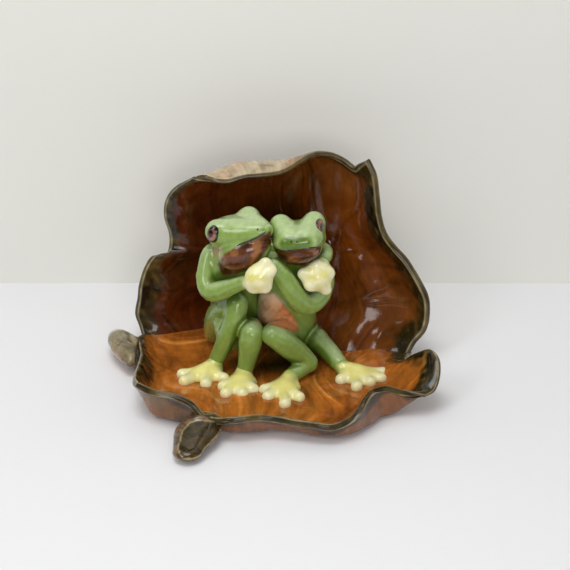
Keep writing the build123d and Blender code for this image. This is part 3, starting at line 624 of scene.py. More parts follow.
def shade_leaf(piece, points, side, across, along, distance, hood=False):
    """Paints the leaf: warm inside, olive along the rim, tan and pink outside, with painted shade
    in the hood behind the heads and a painted shadow on the dish under the knees.
    """
    streak = leaf_strokes(across, along, SEED + 8, 14.0)
    fine = leaf_strokes(across, along, SEED + 9, 42.0)
    cloud = waves(points, 22.0, SEED + 10)
    speck = waves(points, 5.0, SEED + 11)
    if hood:
        veins = vein_lines(across, along, HOOD_ROOT, HOOD_RIBS)
        top = step(0.70, 0.92, along)
        warm = step(0.60, 0.86, across + 0.06 * cloud) * (1 - step(0.20, 0.60, along))
        red = (1 - step(0.14, 0.46, across + 0.05 * cloud)) * (1 - 0.6 * top)
        # Painted shade, partly dark glaze: the hood goes near black behind the heads, where they
        # shade it
        deep = np.exp(-(((across - 0.49) / 0.20) ** 2) - ((along - 0.50) / 0.25) ** 2)
        inside = coated(
            HOOD_BROWN,
            (HOOD_WARM, np.maximum(warm, 0.8 * top) * 0.9),
            (HOOD_RED, red * 0.9),
            (HOOD_DEEP, deep * 0.97),
            (HOOD_DEEP, 0.5 * step(0.5, 1.9, -streak - 0.4 * fine)),
        )
        low_left = (1 - step(0.02, 0.20, across)) * (1 - step(0.42, 0.60, along))
        wide = 4.5 + 10.0 * step(0.84, 0.97, across) + 11.0 * low_left
        wide = wide + 6.0 * (1 - step(0.0, 0.10, across))
    else:
        veins = vein_lines(across, along, DISH_ROOT, DISH_RIBS)
        # Painted shadow: the dish floor goes near black under the frogs' knees, where they shade it
        shade_under_pair = ((points[:, 0] + 4) / 22) ** 2 + ((points[:, 1] - 13) / 13) ** 2
        inside = coated(
            FLOOR_ORANGE,
            (FLOOR_DEEP, step(0.2, 2.0, -streak - 0.3 * cloud) * 0.75),
            (FLOOR_PALE, step(0.3, 1.8, streak + 0.3 * fine) * 0.6),
            # the painted shadow under the knees
            (FLOOR_DEEP * 0.12, 0.96 * np.exp(-shade_under_pair)),
        )
        wide = 3.5 + 12.0 * (1 - step(0.02, 0.15, across)) + 15.0 * step(0.85, 0.96, across)
    margin = 1 - step(0.35 * wide, wide, distance + 0.22 * wide * cloud + 0.10 * wide * speck)
    inside = coated(inside, (inside * 0.55, np.clip(veins, 0, 1) * 0.6))
    inside = inside * (1 + 0.14 * fine)[:, None]
    olive = coated(
        OLIVE,
        (OLIVE_PALE, step(0.0, 1.6, speck + 0.5 * cloud)),
        (OLIVE_DARK, step(0.1, 1.2, streak - 0.6 * speck - 0.3 * cloud) * 0.9),
    )
    tan = step(-1.8, 1.5, cloud) * (1 if hood else 1 - 0.7 * step(0.25, 0.45, across))
    outside = coated(OUTSIDE_PINK, (OUTSIDE_TAN, tan))
    if hood:
        shaded = step(0.75, 0.92, across) * (1 - step(0.45, 0.70, along))
        olive = coated(olive, (olive * 0.55, shaded))
        lip = coated(
            LIP_TAN,
            (LIP_PINK, step(-0.2, 1.5, cloud)),
            (OLIVE_PALE, 0.5 * step(0.4, 1.6, speck - 0.4 * cloud)),
        )
        rolled = step(0.72, 0.90, along) * (1 - step(0.45, 0.65, across))
        outside = coated(outside, (lip, rolled))
    else:
        low = 0.9 * (1 - step(3.0, 8.5, distance + 2.5 * cloud))
        outside = coated(outside, (OUTSIDE_DARK, low))
    drag = step(0.3, 1.5, streak + 0.4 * speck) * (0.15 if hood else 0.5)
    outside = coated(outside, (outside * 0.45, drag))
    rim = coated(OLIVE, (OLIVE_PALE, step(-0.5, 1.2, cloud + 0.3 * speck)))
    line = np.exp(-(((distance - 1.15) / 0.34) ** 2)) * (0.55 + 0.35 * step(-0.8, 0.8, speck))
    paint(piece, coated(
        inside,
        (olive, margin),
        (outside, step(0.25, 0.75, side)),
        (rim, (1 - step(0.9, 1.3, distance)) * 0.85),
        (RIM_LINE, line),
    ))
    store_spread(piece, np.stack([across, along, side], axis=1))


def make_leaf():
    """The dish and the hood, whose shares across run the other way."""
    def turned(function):
        return lambda across, *rest: function(1 - across, *rest)

    def shade_hood(piece, points, side, across, *rest):
        shade_leaf(piece, points, side, 1 - across, *rest, hood=True)

    dish = slab_piece(
        "leaf_dish_glazed", dish_surface(),
        lambda across, along: slab_wall(1 - dish_flatness(across, along)),
        dish_relief, ("left", "right", "end", "start"), DISH_COUNTS, shade_leaf,
    )
    hood = slab_piece(
        "leaf_hood_glazed", turned(hood_surface()), lambda across, along: slab_wall(ease(along)),
        turned(hood_relief), ("left", "right", "end"), HOOD_COUNTS, shade_hood,
    )
    return dish, hood


# Rounded clay forms, as distances in millimetres from their surfaces
LOFT_RINGS = 60
LOFT_ROUNDS = 10


def chain(points, radii, fine=4):
    """A limb: round lengths through points, smoothly curved and tapered."""
    points = np.array(points, float)
    radii = np.array(radii, float)
    path = path_through(np.column_stack([points, radii]))
    full = path(np.linspace(0, 1, (len(points) - 1) * fine + 1))
    spots, sizes = full[:, :3], full[:, 3]

    def field(where):
        best = np.full(where.shape[:-1], 1e9)
        for start, end, small, big in zip(spots, spots[1:], sizes, sizes[1:]):
            run = end - start
            local = where - start
            along = np.clip(local @ run / (run @ run), 0, 1)
            gap = np.linalg.norm(local - along[..., None] * run, axis=-1)
            best = np.minimum(best, gap - (small + (big - small) * along))
        return best

    field.low = (spots - sizes[:, None]).min(0)
    field.high = (spots + sizes[:, None]).max(0)
    return field


def limb(shares, radius):
    """A limb of the pair from its table of shares."""
    return chain([pair_spot(s) for s in shares], [s[3] * radius for s in shares])


def lump(middle, sizes, side=(1, 0, 0)):
    """An egg shape with three half sizes, its first along side and its third near upright."""
    side = unit(np.array(side, float))
    depth = unit(np.cross((0.0, 0.0, 1.0), side))
    axes = np.stack([side, depth, np.cross(side, depth)])
    sizes, middle = np.array(sizes, float), np.array(middle, float)

    def field(where):
        local = (where - middle) @ axes.T
        near = np.linalg.norm(local / sizes, axis=-1)
        steep = np.linalg.norm(local / sizes**2, axis=-1)
        return near * (near - 1) / np.maximum(steep, 1e-9)

    field.low, field.high = middle - sizes.max(), middle + sizes.max()
    return field


def loft(middles, way, side, wide, high):
    """A form through ellipses along one way, such as a torso or a head."""
    middles = np.array(middles, float)
    way, side = unit(np.array(way, float)), np.array(side, float)
    side = unit(side - way * (side @ way))
    up = np.cross(way, side)
    marks = middles @ way
    fine = np.linspace(marks[0], marks[-1], LOFT_RINGS)
    facts = np.column_stack([middles @ side, middles @ up, wide, high])
    smooth = np.stack([np.interp(fine, marks, column) for column in facts.T], axis=1)
    for turn in range(LOFT_ROUNDS):
        padded = np.pad(smooth, ((1, 1), (0, 0)), mode="edge")
        smooth[1:-1] = (padded[:-2] + padded[2:] + 2 * smooth)[1:-1] / 4

    def field(where):
        at = where @ way
        read = [np.interp(at, fine, column) for column in smooth.T]
        a = where @ side - read[0]
        b = where @ up - read[1]
        near = np.sqrt((a / read[2]) ** 2 + (b / read[3]) ** 2)
        steep = np.sqrt((a / read[2] ** 2) ** 2 + (b / read[3] ** 2) ** 2)
        round_gap = near * (near - 1) / np.maximum(steep, 1e-6)
        beyond = np.maximum(marks[0] - at, at - marks[-1])
        return np.where(beyond > 0, np.hypot(np.maximum(round_gap, 0), beyond), round_gap)

    reach = max(np.max(wide), np.max(high)) + 1
    field.low = middles.min(0) - reach
    field.high = middles.max(0) + reach
    return field


def soft_union(first, second, soft):
    """Two distances joined with a fillet."""
    share = np.clip(0.5 + 0.5 * (second - first) / soft, 0, 1)
    return second * (1 - share) + first * share - soft * share * (1 - share)


def soft_cut(first, second, soft):
    """The first distance with the second cut out of it."""
    return -soft_union(-first, second, soft)


def torso(shares):
    """A seated body from the floor to the neck."""
    middles = [pair_spot(s) for s in shares]
    wide = [s[3] * TORSO_HALF_WIDTH for s in shares]
    deep = [s[4] * TORSO_HALF_DEPTH for s in shares]
    return loft(middles, (0, 0, 1), (1, 0, 0), wide, deep)


def joined(parts, softs):
    """Several forms joined one after another, each with its own fillet."""
    def field(where):
        total = parts[0](where)
        for part, soft in zip(parts[1:], softs):
            total = soft_union(total, part(where), soft)
        return total

    field.low = np.min([part.low for part in parts], axis=0)
    field.high = np.max([part.high for part in parts], axis=0)
    return field


def surface_net(field, low, high, pitch):
    """A mesh of quads on the zero surface of a field, over a grid of the given pitch."""
    counts = np.ceil((high - low) / pitch).astype(int) + 1
    axes = [low[k] + pitch * np.arange(counts[k]) for k in range(3)]
    y, z = np.meshgrid(axes[1], axes[2], indexing="ij")
    layers = (np.stack([np.full(y.shape, x), y, z], axis=-1) for x in axes[0])
    grid = np.stack([field(layer) for layer in layers])
    inside = grid < 0
    corners = [(i, j, k) for i in (0, 1) for j in (0, 1) for k in (0, 1)]
    cells = tuple(c - 1 for c in counts)

    def corner(array, offset):
        return array[tuple(slice(o, o + n) for o, n in zip(offset, cells))]

    total = sum(corner(inside, c).astype(np.int8) for c in corners)
    active = (total > 0) & (total < 8)
    where = np.argwhere(active)
    number = np.full(cells, -1)
    number[active] = np.arange(len(where))
    sums = np.zeros((len(where), 3))
    hits = np.zeros(len(where))
    for axis in range(3):
        for start in corners:
            if start[axis]:
                continue
            end = tuple(1 if k == axis else start[k] for k in range(3))
            a = corner(grid, start)[active]
            b = corner(grid, end)[active]
            cross = (a < 0) != (b < 0)
            share = np.where(cross, a / np.where(a == b, 1, a - b), 0)
            spot = np.array(start, float) + np.outer(share, np.array(end) - np.array(start))
            sums += spot * cross[:, None]
            hits += cross
    points = low + pitch * (where + sums / hits[:, None])
    faces = []
    for axis in range(3):
        first, second = [k for k in range(3) if k != axis]
        shift = [0, 0, 0]
        shift[axis] = 1
        a = inside[tuple(slice(0, counts[k] - shift[k]) for k in range(3))]
        b = inside[tuple(slice(shift[k], counts[k]) for k in range(3))]
        edges = np.argwhere(a != b)
        starts = a[tuple(edges.T)]
        keep = (edges[:, first] > 0) & (edges[:, second] > 0)
        keep &= (edges[:, first] < cells[first]) & (edges[:, second] < cells[second])
        edges, starts = edges[keep], starts[keep]
        quad = []
        for back in ((0, 0), (1, 0), (1, 1), (0, 1)):
            cell = edges.copy()
            cell[:, [first, second]] -= back
            quad.append(number[tuple(cell.T)])
        quad = np.stack(quad, axis=1)
        turn = starts if axis != 1 else ~starts
        quad[~turn] = quad[~turn][:, ::-1]
        faces.append(quad)
    return points, np.concatenate(faces)


def slope(field, points, reach=0.15):
    """The outward way of a field at points, and how fast it grows there."""
    moves = reach * np.eye(3)
    ways = np.stack([field(points + move) - field(points - move) for move in moves], axis=1)
    return unit(ways), np.linalg.norm(ways, axis=1) / (2 * reach)


def settle(field, points):
    """Points moved onto the zero surface of a field."""
    for turn in range(2):
        ways, steep = slope(field, points)
        move = np.clip(field(points) / np.maximum(steep, 0.3), -0.5, 0.5)
        points = points - ways * move[:, None]
    return points


def hollows(field, points, ways, reach):
    """How hollow (positive) or raised (negative) the surface is around each point."""
    dent = 1 - field(points + ways * reach) / reach
    rise = 1 + field(points - ways * reach) / reach
    return np.clip(dent, -1, 1) - np.clip(rise, -1, 1)


def form_piece(name, field, pitch):
    """A smooth clay form on the zero surface of a field, its points and their outward ways."""
    low = np.maximum(field.low, -200) - 2 * pitch
    points, faces = surface_net(field, low, field.high + 2 * pitch, pitch)
    points = settle(field, points)
    return make_mesh(name, points, faces), points, slope(field, points)[0]


def cut_flat(shape, height):
    """A form with nothing of it below a height."""
    def field(where):
        return np.maximum(shape(where), height - where[..., 2])

    field.low, field.high = shape.low, shape.high
    return field


# The frogs: their colours, and painted zones as outlines in the photograph's pixels
# The pale green also serves as painted sheen, the deep green also as painted shade
GREEN = colour(142, 170, 82)
GREEN_PALE = colour(216, 234, 188)
GREEN_DEEP = colour(86, 114, 28)
YELLOW = colour(236, 228, 136)
YELLOW_PALE = colour(252, 250, 230)
YELLOW_DEEP = colour(200, 184, 62)
THROAT = colour(100, 50, 16)
THROAT_PALE = colour(172, 116, 68)
THROAT_DARK = colour(36, 18, 8)
PINK = colour(196, 148, 118)
BELLY = colour(222, 146, 92)
BELLY_PALE = colour(253, 222, 186)
THROAT_LINES = {
    "left": [
        (236, 247), (252, 240.5), (262, 235.5), (271, 230.5), (272, 242), (264, 254), (252, 268),
        (236, 274), (222, 275), (217.5, 264), (224, 254),
    ],
    "right": [
        (273.5, 248), (283, 251), (293, 250.6), (308, 248.6), (321, 246), (322, 254), (313, 262),
        (302, 266), (289, 264.5), (279, 258),
    ],
}
CHEEK_LINE = [(212, 247), (221, 246), (222, 257), (214, 258)]
BELLY_LINE = [
    (251, 300), (254, 295), (264, 292.5), (275, 293), (281, 300), (286, 307), (293, 315),
    (298, 324), (298.5, 330), (295, 332), (286, 329.5), (275, 326), (260, 323), (252, 321.5),
    (250.5, 313),
]
# Half sizes of the lumps, and the brow ridges from the eyes to the snout
LEFT_WEB_SIZES = (5.6, 7.5, 6.5)
LEFT_SHOULDER_SIZES = (9.0, 8.0, 13.0)
LEFT_THROAT_SIZES = (13.6, 9.0, 9.5)
LEFT_THROAT_TILT = math.radians(-25)
RIGHT_THROAT_SIZES = (11.4, 9.4, 7.4)
BROW_RADII = (3.8, 3.4, 2.6)
BROW_END = 3.0
BROW_RISE = 0.6
LEFT_BROW_SPREAD = 0.15
RIGHT_BROW_SPREAD = 0.62
# The fillets between the parts of a skin, in the order in which the parts are joined
SKULL_FILLETS = (3.2, 3.2, 5.0, 5.0)
LEFT_FILLETS = (2.5, 2.0, 2.5, 2.0, 3.0, 3.0, 2.0, 2.0, 2.5, 1.6)
RIGHT_FILLETS = (2.5, 2.0, 1.6, 3.0, 2.0, 1.6, 2.0, 2.5, 1.6)
# The pitch of the grids that the forms are meshed on, and the sizes of feet and hands
SKIN_PITCH = 0.75
DIGIT_PITCH = 0.6
FOOT = {"palm": (8.2, 8.2, 3.4), "root": 3.3, "pad": 3.1, "joint_radius": 4.0, "web": 3.0}
HAND = {"palm": (6.6, 3.8, 6.6), "root": 3.2, "pad": 2.7, "joint_radius": 3.2, "web": 4.0}
FOOT_SINK = 0.6
HAND_PALE = 0.45


def skull(nape, snout, shares, half_width, half_height, eyes, spread):
    """A head with two eye bumps and the brow ridges that run from them to the snout."""
    start, tip = pair_spot(nape), pair_spot(snout)
    eyes = [pair_spot(s) for s in eyes]
    way = tip - start
    head = loft(
        [start + way * s[0] for s in shares], way, eyes[1] - eyes[0],
        [s[1] * half_width for s in shares], [s[2] * half_height for s in shares],
    )
    bump = (EYE_BUMP_RADIUS, EYE_BUMP_RADIUS * 1.1, EYE_BUMP_RADIUS * 1.02)
    ridges = []
    for eye in eyes:
        apart = (eye - (eyes[0] + eyes[1]) / 2) * spread
        end = tip + apart - unit(way) * BROW_END
        mid = eye * 0.5 + end * 0.5 + np.array([0, 0, BROW_RISE])
        ridges.append(chain([eye, mid, end], BROW_RADII, fine=2))
    return joined([head] + [lump(eye, bump) for eye in eyes] + ridges, SKULL_FILLETS)


def frog_forms():
    """The two frogs' skins, each as one field."""
    throat_way = (math.cos(LEFT_THROAT_TILT), 0, -math.sin(LEFT_THROAT_TILT))
    left = joined([
        torso(LEFT_TORSO),
        limb(LEFT_OUTER_THIGH, LEFT_THIGH_RADIUS), limb(LEFT_OUTER_SHIN, SHIN_RADIUS),
        limb(LEFT_INNER_THIGH, LEFT_THIGH_RADIUS), limb(LEFT_INNER_SHIN, SHIN_RADIUS),
        lump(pair_spot(LEFT_WEB), LEFT_WEB_SIZES),
        lump(pair_spot(LEFT_SHOULDER), LEFT_SHOULDER_SIZES),
        limb(LEFT_OUTER_ARM, ARM_RADIUS), limb(LEFT_INNER_ARM, ARM_RADIUS),
        lump(pair_spot(LEFT_THROAT), LEFT_THROAT_SIZES, throat_way),
        skull(LEFT_NAPE, LEFT_SNOUT, LEFT_HEAD, LEFT_HEAD_HALF_WIDTH, LEFT_HEAD_HALF_HEIGHT,
              LEFT_EYE_BUMPS, LEFT_BROW_SPREAD),
    ], LEFT_FILLETS)
    right = joined([
        torso(RIGHT_TORSO),
        limb(RIGHT_INNER_THIGH, RIGHT_THIGH_RADIUS), limb(RIGHT_INNER_SHIN, SHIN_RADIUS),
        limb(RIGHT_INNER_TARSUS, TARSUS_RADIUS),
        limb(RIGHT_OUTER_THIGH, RIGHT_THIGH_RADIUS), limb(RIGHT_OUTER_SHIN, SHIN_RADIUS),
        limb(RIGHT_OUTER_ARM, ARM_RADIUS), limb(RIGHT_INNER_ARM, ARM_RADIUS),
        lump(pair_spot(RIGHT_THROAT), RIGHT_THROAT_SIZES),
        skull(RIGHT_NAPE, RIGHT_SNOUT, RIGHT_HEAD, RIGHT_HEAD_HALF_WIDTH, RIGHT_HEAD_HALF_HEIGHT,
              RIGHT_EYE_BUMPS, RIGHT_BROW_SPREAD),
    ], RIGHT_FILLETS)
    return {"left": left, "right": right}


def green_paint(points, ways, bend, broad):
    """Green glaze, pale on raised parts where it runs thin and as a painted sheen, with a painted
    highlight on upward faces, deep in hollows where it pools and as painted shade, and a painted
    shadow low under the pair.
    """
    cloud = waves(points, 16.0, SEED + 20)
    brush = waves(points, 4.5, SEED + 21)
    pooling_and_shade = np.maximum(bend, broad * 0.8) + 0.08 * cloud
    shade_under_pair = ((points[:, 0] + 12) / 15) ** 2 + ((points[:, 1] - 8) / 12) ** 2
    colours = coated(
        GREEN,
        # Paler on raised parts: partly thin glaze, partly a painted sheen
        (GREEN_PALE, 0.8 * step(0.04, 0.50, -bend + 0.03 * brush)),
        # Painted highlight: paler on faces that turn up to the light above
        (GREEN_PALE, 0.42 * step(0.25, 0.95, ways[:, 2] + 0.08 * cloud)),
        # Deeper in hollows: partly pooled glaze, partly painted shade
        (GREEN_DEEP, 0.9 * step(-0.12, 0.40, pooling_and_shade)),
        # Painted shadow: the lower legs go dark green low under the pair
        (GREEN_DEEP * 0.6, 0.85 * np.exp(-shade_under_pair) * (1 - step(12, 26, points[:, 2]))),
    )
    return colours * (1 + 0.08 * cloud + 0.05 * brush)[:, None]


def painted_zone(pixels, outline, soft, deep):
    """The share of a painted zone at each point, and that of its darker edge."""
    inside = near_outline(pixels, outline, soft)
    return inside, np.clip(inside * (1 - near_outline(pixels, outline, deep) ** 3), 0, 1)


def make_frogs():
    """The green skins, with painted throats, a pink cheek and a pale belly."""
    made = {}
    for side, field in frog_forms().items():
        piece, points, ways = form_piece(side + "_frog_skin", field, SKIN_PITCH)
        bend, broad = (hollows(field, points, ways, reach) for reach in (1.6, 4.5))
        colours = green_paint(points, ways, bend, broad)
        pixels = pixel_of(points)
        front = step(-0.35, -0.05, -ways[:, 1])
        speck = waves(points, 3.2, SEED + 23)
        cloud = waves(points, 9.0, SEED + 24)
        inside, edge = painted_zone(pixels, THROAT_LINES[side], 1.2, 5.0)
        throat = coated(
            THROAT,
            (THROAT_PALE, step(-0.1, 1.1, cloud + 0.5 * speck) * 0.7),
            (THROAT_DARK, step(0.2, 1.3, speck - 0.7 * cloud) * 0.75),
            (THROAT_DARK, edge * 0.5),
        )
        colours = coated(colours, (throat, inside * front))
        if side == "left":
            cheek = near_outline(pixels, CHEEK_LINE, 3.0) * front
            colours = coated(colours, (PINK, cheek * 0.55))
        else:
            inside, edge = painted_zone(pixels, BELLY_LINE, 1.0, 3.0)
            lean = pixels[:, 0] + 0.6 * (pixels[:, 1] - 300) + 6 * cloud
            belly = coated(
                BELLY,
                (BELLY_PALE, (1 - step(256, 292, lean)) * 0.9),
                (THROAT, step(0.0, 1.5, speck + cloud) * 0.3),
                (THROAT_DARK, edge * 0.55),
            )
            colours = coated(colours, (belly, inside * front))
        paint(piece, colours)
        made[side] = piece
    return made


def digits_field(joint, middle, tips, palm, root, pad, joint_radius, web):
    """A palm with webbed digits that end in round pads."""
    parts = [lump(middle, palm)]
    for tip in tips:
        spots = [middle + (tip - middle) * 0.15, middle + (tip - middle) * 0.62, tip]
        parts.append(chain(spots, [root, root * 0.88, pad], fine=3))
    parts.append(chain([middle, joint], [joint_radius * 1.05, joint_radius], fine=2))
    return joined(parts, [web] * (len(parts) - 1))


def yellow_paint(points, bend, broad, joint, tips, pale):
    """Pale yellow glaze, whiter at the tips and greenish towards the joint."""
    cloud = waves(points, 7.0, SEED + 30)
    near_tip = np.min([np.linalg.norm(points - tip, axis=1) for tip in tips], axis=0)
    near_joint = np.linalg.norm(points - joint, axis=1)
    colours = coated(
        YELLOW,
        (YELLOW_PALE, pale * step(-0.9, 0.7, cloud)),
        (YELLOW_PALE, 0.5 * (1 - step(1.5, 6.5, near_tip + cloud))),
        (YELLOW_PALE, 0.5 * step(0.1, 0.5, -bend)),
        (YELLOW_DEEP, 0.8 * step(0.15, 0.7, np.maximum(bend, broad * 0.7))),
        (GREEN, 0.9 * (1 - step(3.2, 6.0, near_joint + 0.6 * cloud))),
    )
    return colours * (1 + 0.05 * cloud)[:, None]


def make_feet_and_hands():
    """Four feet on the floor and three hands on the bodies."""
    made = {}
    for name, shares in {**FEET, **HANDS}.items():
        joint, middle, *tips = [pair_spot(s) for s in shares]
        form = digits_field(joint, middle, tips, **(FOOT if name in FEET else HAND))
        if name in FEET:
            form = cut_flat(form, FLOOR_TOP - FOOT_SINK)
        piece, points, ways = form_piece(name + "_glazed", form, DIGIT_PITCH)
        bend, broad = (hollows(form, points, ways, reach) for reach in (1.2, 3.0))
        pale = 0.0 if name in FEET else HAND_PALE
        paint(piece, yellow_paint(points, bend, broad, joint, tips, pale))
        made[name] = piece
    return made


# The stalk and the lobe
STALK_OLIVE = colour(72, 55, 20)
STALK_FOOT = 0.25
STALK_CUT_RISE = 1.12
STALK_CUT_SHARE = 0.66
STALK_CUT_SOFT = 1.2
LOBE_FILLET = 5.0
LOBE_FOLD_ENDS = (-6, 5)
LOBE_FOLD_RADII = (1.6, 1.2)
LOBE_FOLD_SOFT = 2.0
LEAF_PITCH = 0.7
STALK_TOP = [
    (199, 420), (190, 422.5), (182.5, 431), (180, 441), (177.5, 447.5), (180, 455), (185, 461),
    (192.5, 462.5), (199, 459), (204, 449), (217.5, 435), (225, 422.5),
]


def make_stalk():
    """A thick stem with a dished cut along its top."""
    spots = leaf_spots([s[:3] for s in STALK], RIM_HEIGHT)
    widths = [s[3] * STALK_WIDTH / 2 for s in STALK]
    squash = STALK_THICKNESS / STALK_WIDTH
    stretch = np.array([1, 1, 1 / squash])
    round_spots = [np.array(s) * stretch for s in spots]
    body = chain(round_spots, widths)
    rises = [np.array([0, 0, w * STALK_CUT_RISE]) for w in widths]
    dished = [s + rise for s, rise in zip(round_spots, rises)]
    groove = chain(dished[1:], [w * STALK_CUT_SHARE for w in widths[1:]])

    def field(where):
        wide = where * stretch
        cut = soft_cut(body(wide), groove(wide), STALK_CUT_SOFT)
        return np.maximum(cut * squash ** 0.5, STALK_FOOT - where[..., 2])

    field.low, field.high = body.low / stretch, body.high / stretch
    piece, points, ways = form_piece("leaf_stalk_glazed", field, LEAF_PITCH)
    cloud = waves(points, 9.0, SEED + 40)
    speck = waves(points, 3.5, SEED + 41)
    inside = near_outline(pixel_of(points), STALK_TOP, 1.1) * step(0.0, 0.4, ways[:, 2])
    flank = coated(OUTSIDE_TAN, (OUTSIDE_DARK, step(-0.6, 1.2, cloud + speck) * 0.8))
    hollow = coated(STALK_OLIVE, (OLIVE_DARK, step(-0.6, 1.4, speck - 0.6 * cloud) * 0.7))
    edge = np.clip(3.4 * inside * (1 - inside), 0, 0.85)
    paint(piece, coated(flank, (hollow, inside), (RIM_LINE, edge)))
    return piece


def make_lobe():
    """The lobe that curls out over the table at the left."""
    turn = math.radians(LOBE_TURN)
    long_way = np.array([math.cos(turn), math.sin(turn), 0.0])
    tip = lump(LOBE_MIDDLE, LOBE_HALF_SIZES, long_way)
    body = joined([tip, lump(LOBE_BRIDGE, LOBE_BRIDGE_SIZES)], [LOBE_FILLET])
    ends = [LOBE_MIDDLE + long_way * reach + LOBE_FOLD for reach in LOBE_FOLD_ENDS]
    fold = chain(ends, LOBE_FOLD_RADII)

    def field(where):
        skin = soft_cut(body(where), fold(where), LOBE_FOLD_SOFT)
        skin = skin + 0.25 * waves(where, 12.0, SEED + 45)
        return np.maximum(skin, where[..., 0] - LOBE_ROOT)

    field.low, field.high = body.low, body.high
    piece, points, ways = form_piece("leaf_lobe_glazed", field, LEAF_PITCH)
    cloud = waves(points, 10.0, SEED + 46)
    speck = waves(points, 3.0, SEED + 47)
    paint(piece, coated(
        LIP_PINK,
        (OUTSIDE_TAN, step(-0.9, 0.7, cloud)),
        (LOBE_TAN, step(-0.1, 0.6, ways[:, 2] + 0.12 * cloud)),
        (OLIVE, step(0.2, 1.5, cloud + 0.6 * speck) * 0.6),
    ))
    return piece


# Eyes, nostrils and mouth lines
def tree_of(piece):
    """A search tree of a piece, in millimetres."""
    mesh = piece.data
    points = [tuple(vertex.co / MM) for vertex in mesh.vertices]
    faces = [tuple(face.vertices) for face in mesh.polygons]
    return BVHTree.FromPolygons(points, faces)


def hit(tree, spot, way):
    """Where a ray meets a piece, and the surface's way there."""
    found, facing = tree.ray_cast(Vector(spot), Vector(way))[:2]
    return (None, None) if found is None else (np.array(found), np.array(facing))


EYE_DARK = colour(14, 10, 8)
IRIS = colour(140, 84, 66)
IRIS_PALE = colour(176, 126, 106)
EYE_RINGS, EYE_TURNS = 26, 64
EYE_SINK = 0.25
EYE_RISE = 1.2
FAR_EYE_RISE = 1.5
FAR_EYE_START = 12
NOSTRIL_SIZES = (0.55, 0.85)
NOSTRIL_RISE = 0.35
SEEN_EYE_LIMITS = (3.3, 4.1)
FAR_PUPIL = (0.1, 0.1)
LINE_RADIUS = 0.56
LEFT_MOUTH = [
    (235.5, 246.3), (243, 243.2), (251.3, 240.0), (257.5, 237.0), (262.5, 234.2), (266.5, 230.6),
]
RIGHT_MOUTH = [
    (274.5, 248.2), (279, 250.0), (285, 250.9), (292, 250.4), (300, 249.4), (308, 248.4),
    (315, 247.4), (320.2, 245.6),
]
NOSTRILS = {
    "right_frog_nostril_one": (291.3, 242.1),
    "right_frog_nostril_two": (296.8, 241.6),
    "left_frog_nostril_one": (257.6, 229.2),
}


def seen_axes(middle, way, pixels_wide, pixels_high):
    """The long way and the half sizes of an eye that the photograph shows upright."""
    first = unit(np.cross(way, np.array([0.0, 0.0, 1.0])))
    second = np.cross(way, first)
    flat = np.stack([pixel_of(middle + axis) - pixel_of(middle) for axis in (first, second)])
    form = flat @ np.diag([1 / pixels_wide**2, 1 / pixels_high**2]) @ flat.T
    sizes, turns = np.linalg.eigh(form)
    long_way = first * turns[0, 0] + second * turns[1, 0]
    long_way = long_way * (1 if long_way[2] > 0 else -1)
    return long_way, 1 / math.sqrt(sizes[1]), 1 / math.sqrt(sizes[0])


def make_eye(name, spot, way, up, half_wide, half_high, rise, pupil):
    """A domed eye: a dark outline, a pinkish iris and a black pupil."""
    way = unit(np.array(way, float))
    middle = spot - way * EYE_SINK
    up = unit(np.array(up, float) - way * (np.array(up, float) @ way))
    side = np.cross(up, way)
    points, shares, angles, faces = [], [], [], []
    for ring in range(EYE_RINGS + 1):
        out = ring / EYE_RINGS * 1.12
        lift = math.sqrt(max(0.0, 1 - out**2)) * rise if out <= 1 else -(out - 1) * 8
        for turn in range(EYE_TURNS):
            angle = 2 * math.pi * turn / EYE_TURNS
            spot = middle + side * (math.cos(angle) * out * half_wide)
            points.append(spot + up * (math.sin(angle) * out * half_high) + way * lift)
            shares.append(out)
            angles.append(angle)
            if ring < EYE_RINGS:
                a = ring * EYE_TURNS + turn
                b = ring * EYE_TURNS + (turn + 1) % EYE_TURNS
                faces.append((a, b, b + EYE_TURNS, a + EYE_TURNS))
    piece = make_mesh(name, points, faces)
    shares, angles = np.array(shares), np.array(angles)
    x, y = np.cos(angles) * shares, np.sin(angles) * shares
    away = np.hypot((x - pupil[0]) / 0.46, (y - pupil[1]) / 0.50)
    paint(piece, coated(
        IRIS,
        (IRIS_PALE, step(-0.2, 1.0, x * 0.3 - y * 0.8) * 0.7),
        (EYE_DARK, 1 - step(0.85, 1.1, away)),
        (EYE_DARK, step(0.70, 0.80, shares)),
    ))
    return piece


def make_line(name, tree, pixels):
    """A painted line that follows a skin under a row of pixels."""
    path = path_through([(*pixel, 0.0) for pixel in pixels])
    spots = []
    for across, down, zero in path(np.linspace(0, 1, max(12, len(pixels) * 6))):
        spot, way = hit(tree, EYE, ray_of(across, down))
        if spot is not None:
            spots.append(spot - unit(way) * LINE_RADIUS * 0.35)
    spots = np.array(spots)
    for turn in range(3):
        spots[1:-1] = (spots[:-2] + 2 * spots[1:-1] + spots[2:]) / 4
    curve = bpy.data.curves.new(name, "CURVE")
    curve.dimensions = "3D"
    curve.bevel_depth = LINE_RADIUS * MM
    curve.bevel_resolution = 3
    curve.use_fill_caps = True
    spline = curve.splines.new("POLY")
    spline.points.add(len(spots) - 1)
    for index, spot in enumerate(spots):
        taper = min(index, len(spots) - 1 - index) / (0.18 * len(spots))
        spline.points[index].co = (*(spot * MM), 1.0)
        spline.points[index].radius = 0.35 + 0.65 * min(1.0, taper)
    holder = add_object(name + "_curve", curve)
    bpy.context.view_layer.update()
    shown = holder.evaluated_get(bpy.context.evaluated_depsgraph_get())
    mesh = bpy.data.meshes.new_from_object(shown)
    bpy.data.objects.remove(holder)
    mesh.polygons.foreach_set("use_smooth", [True] * len(mesh.polygons))
    return add_object(name, mesh)


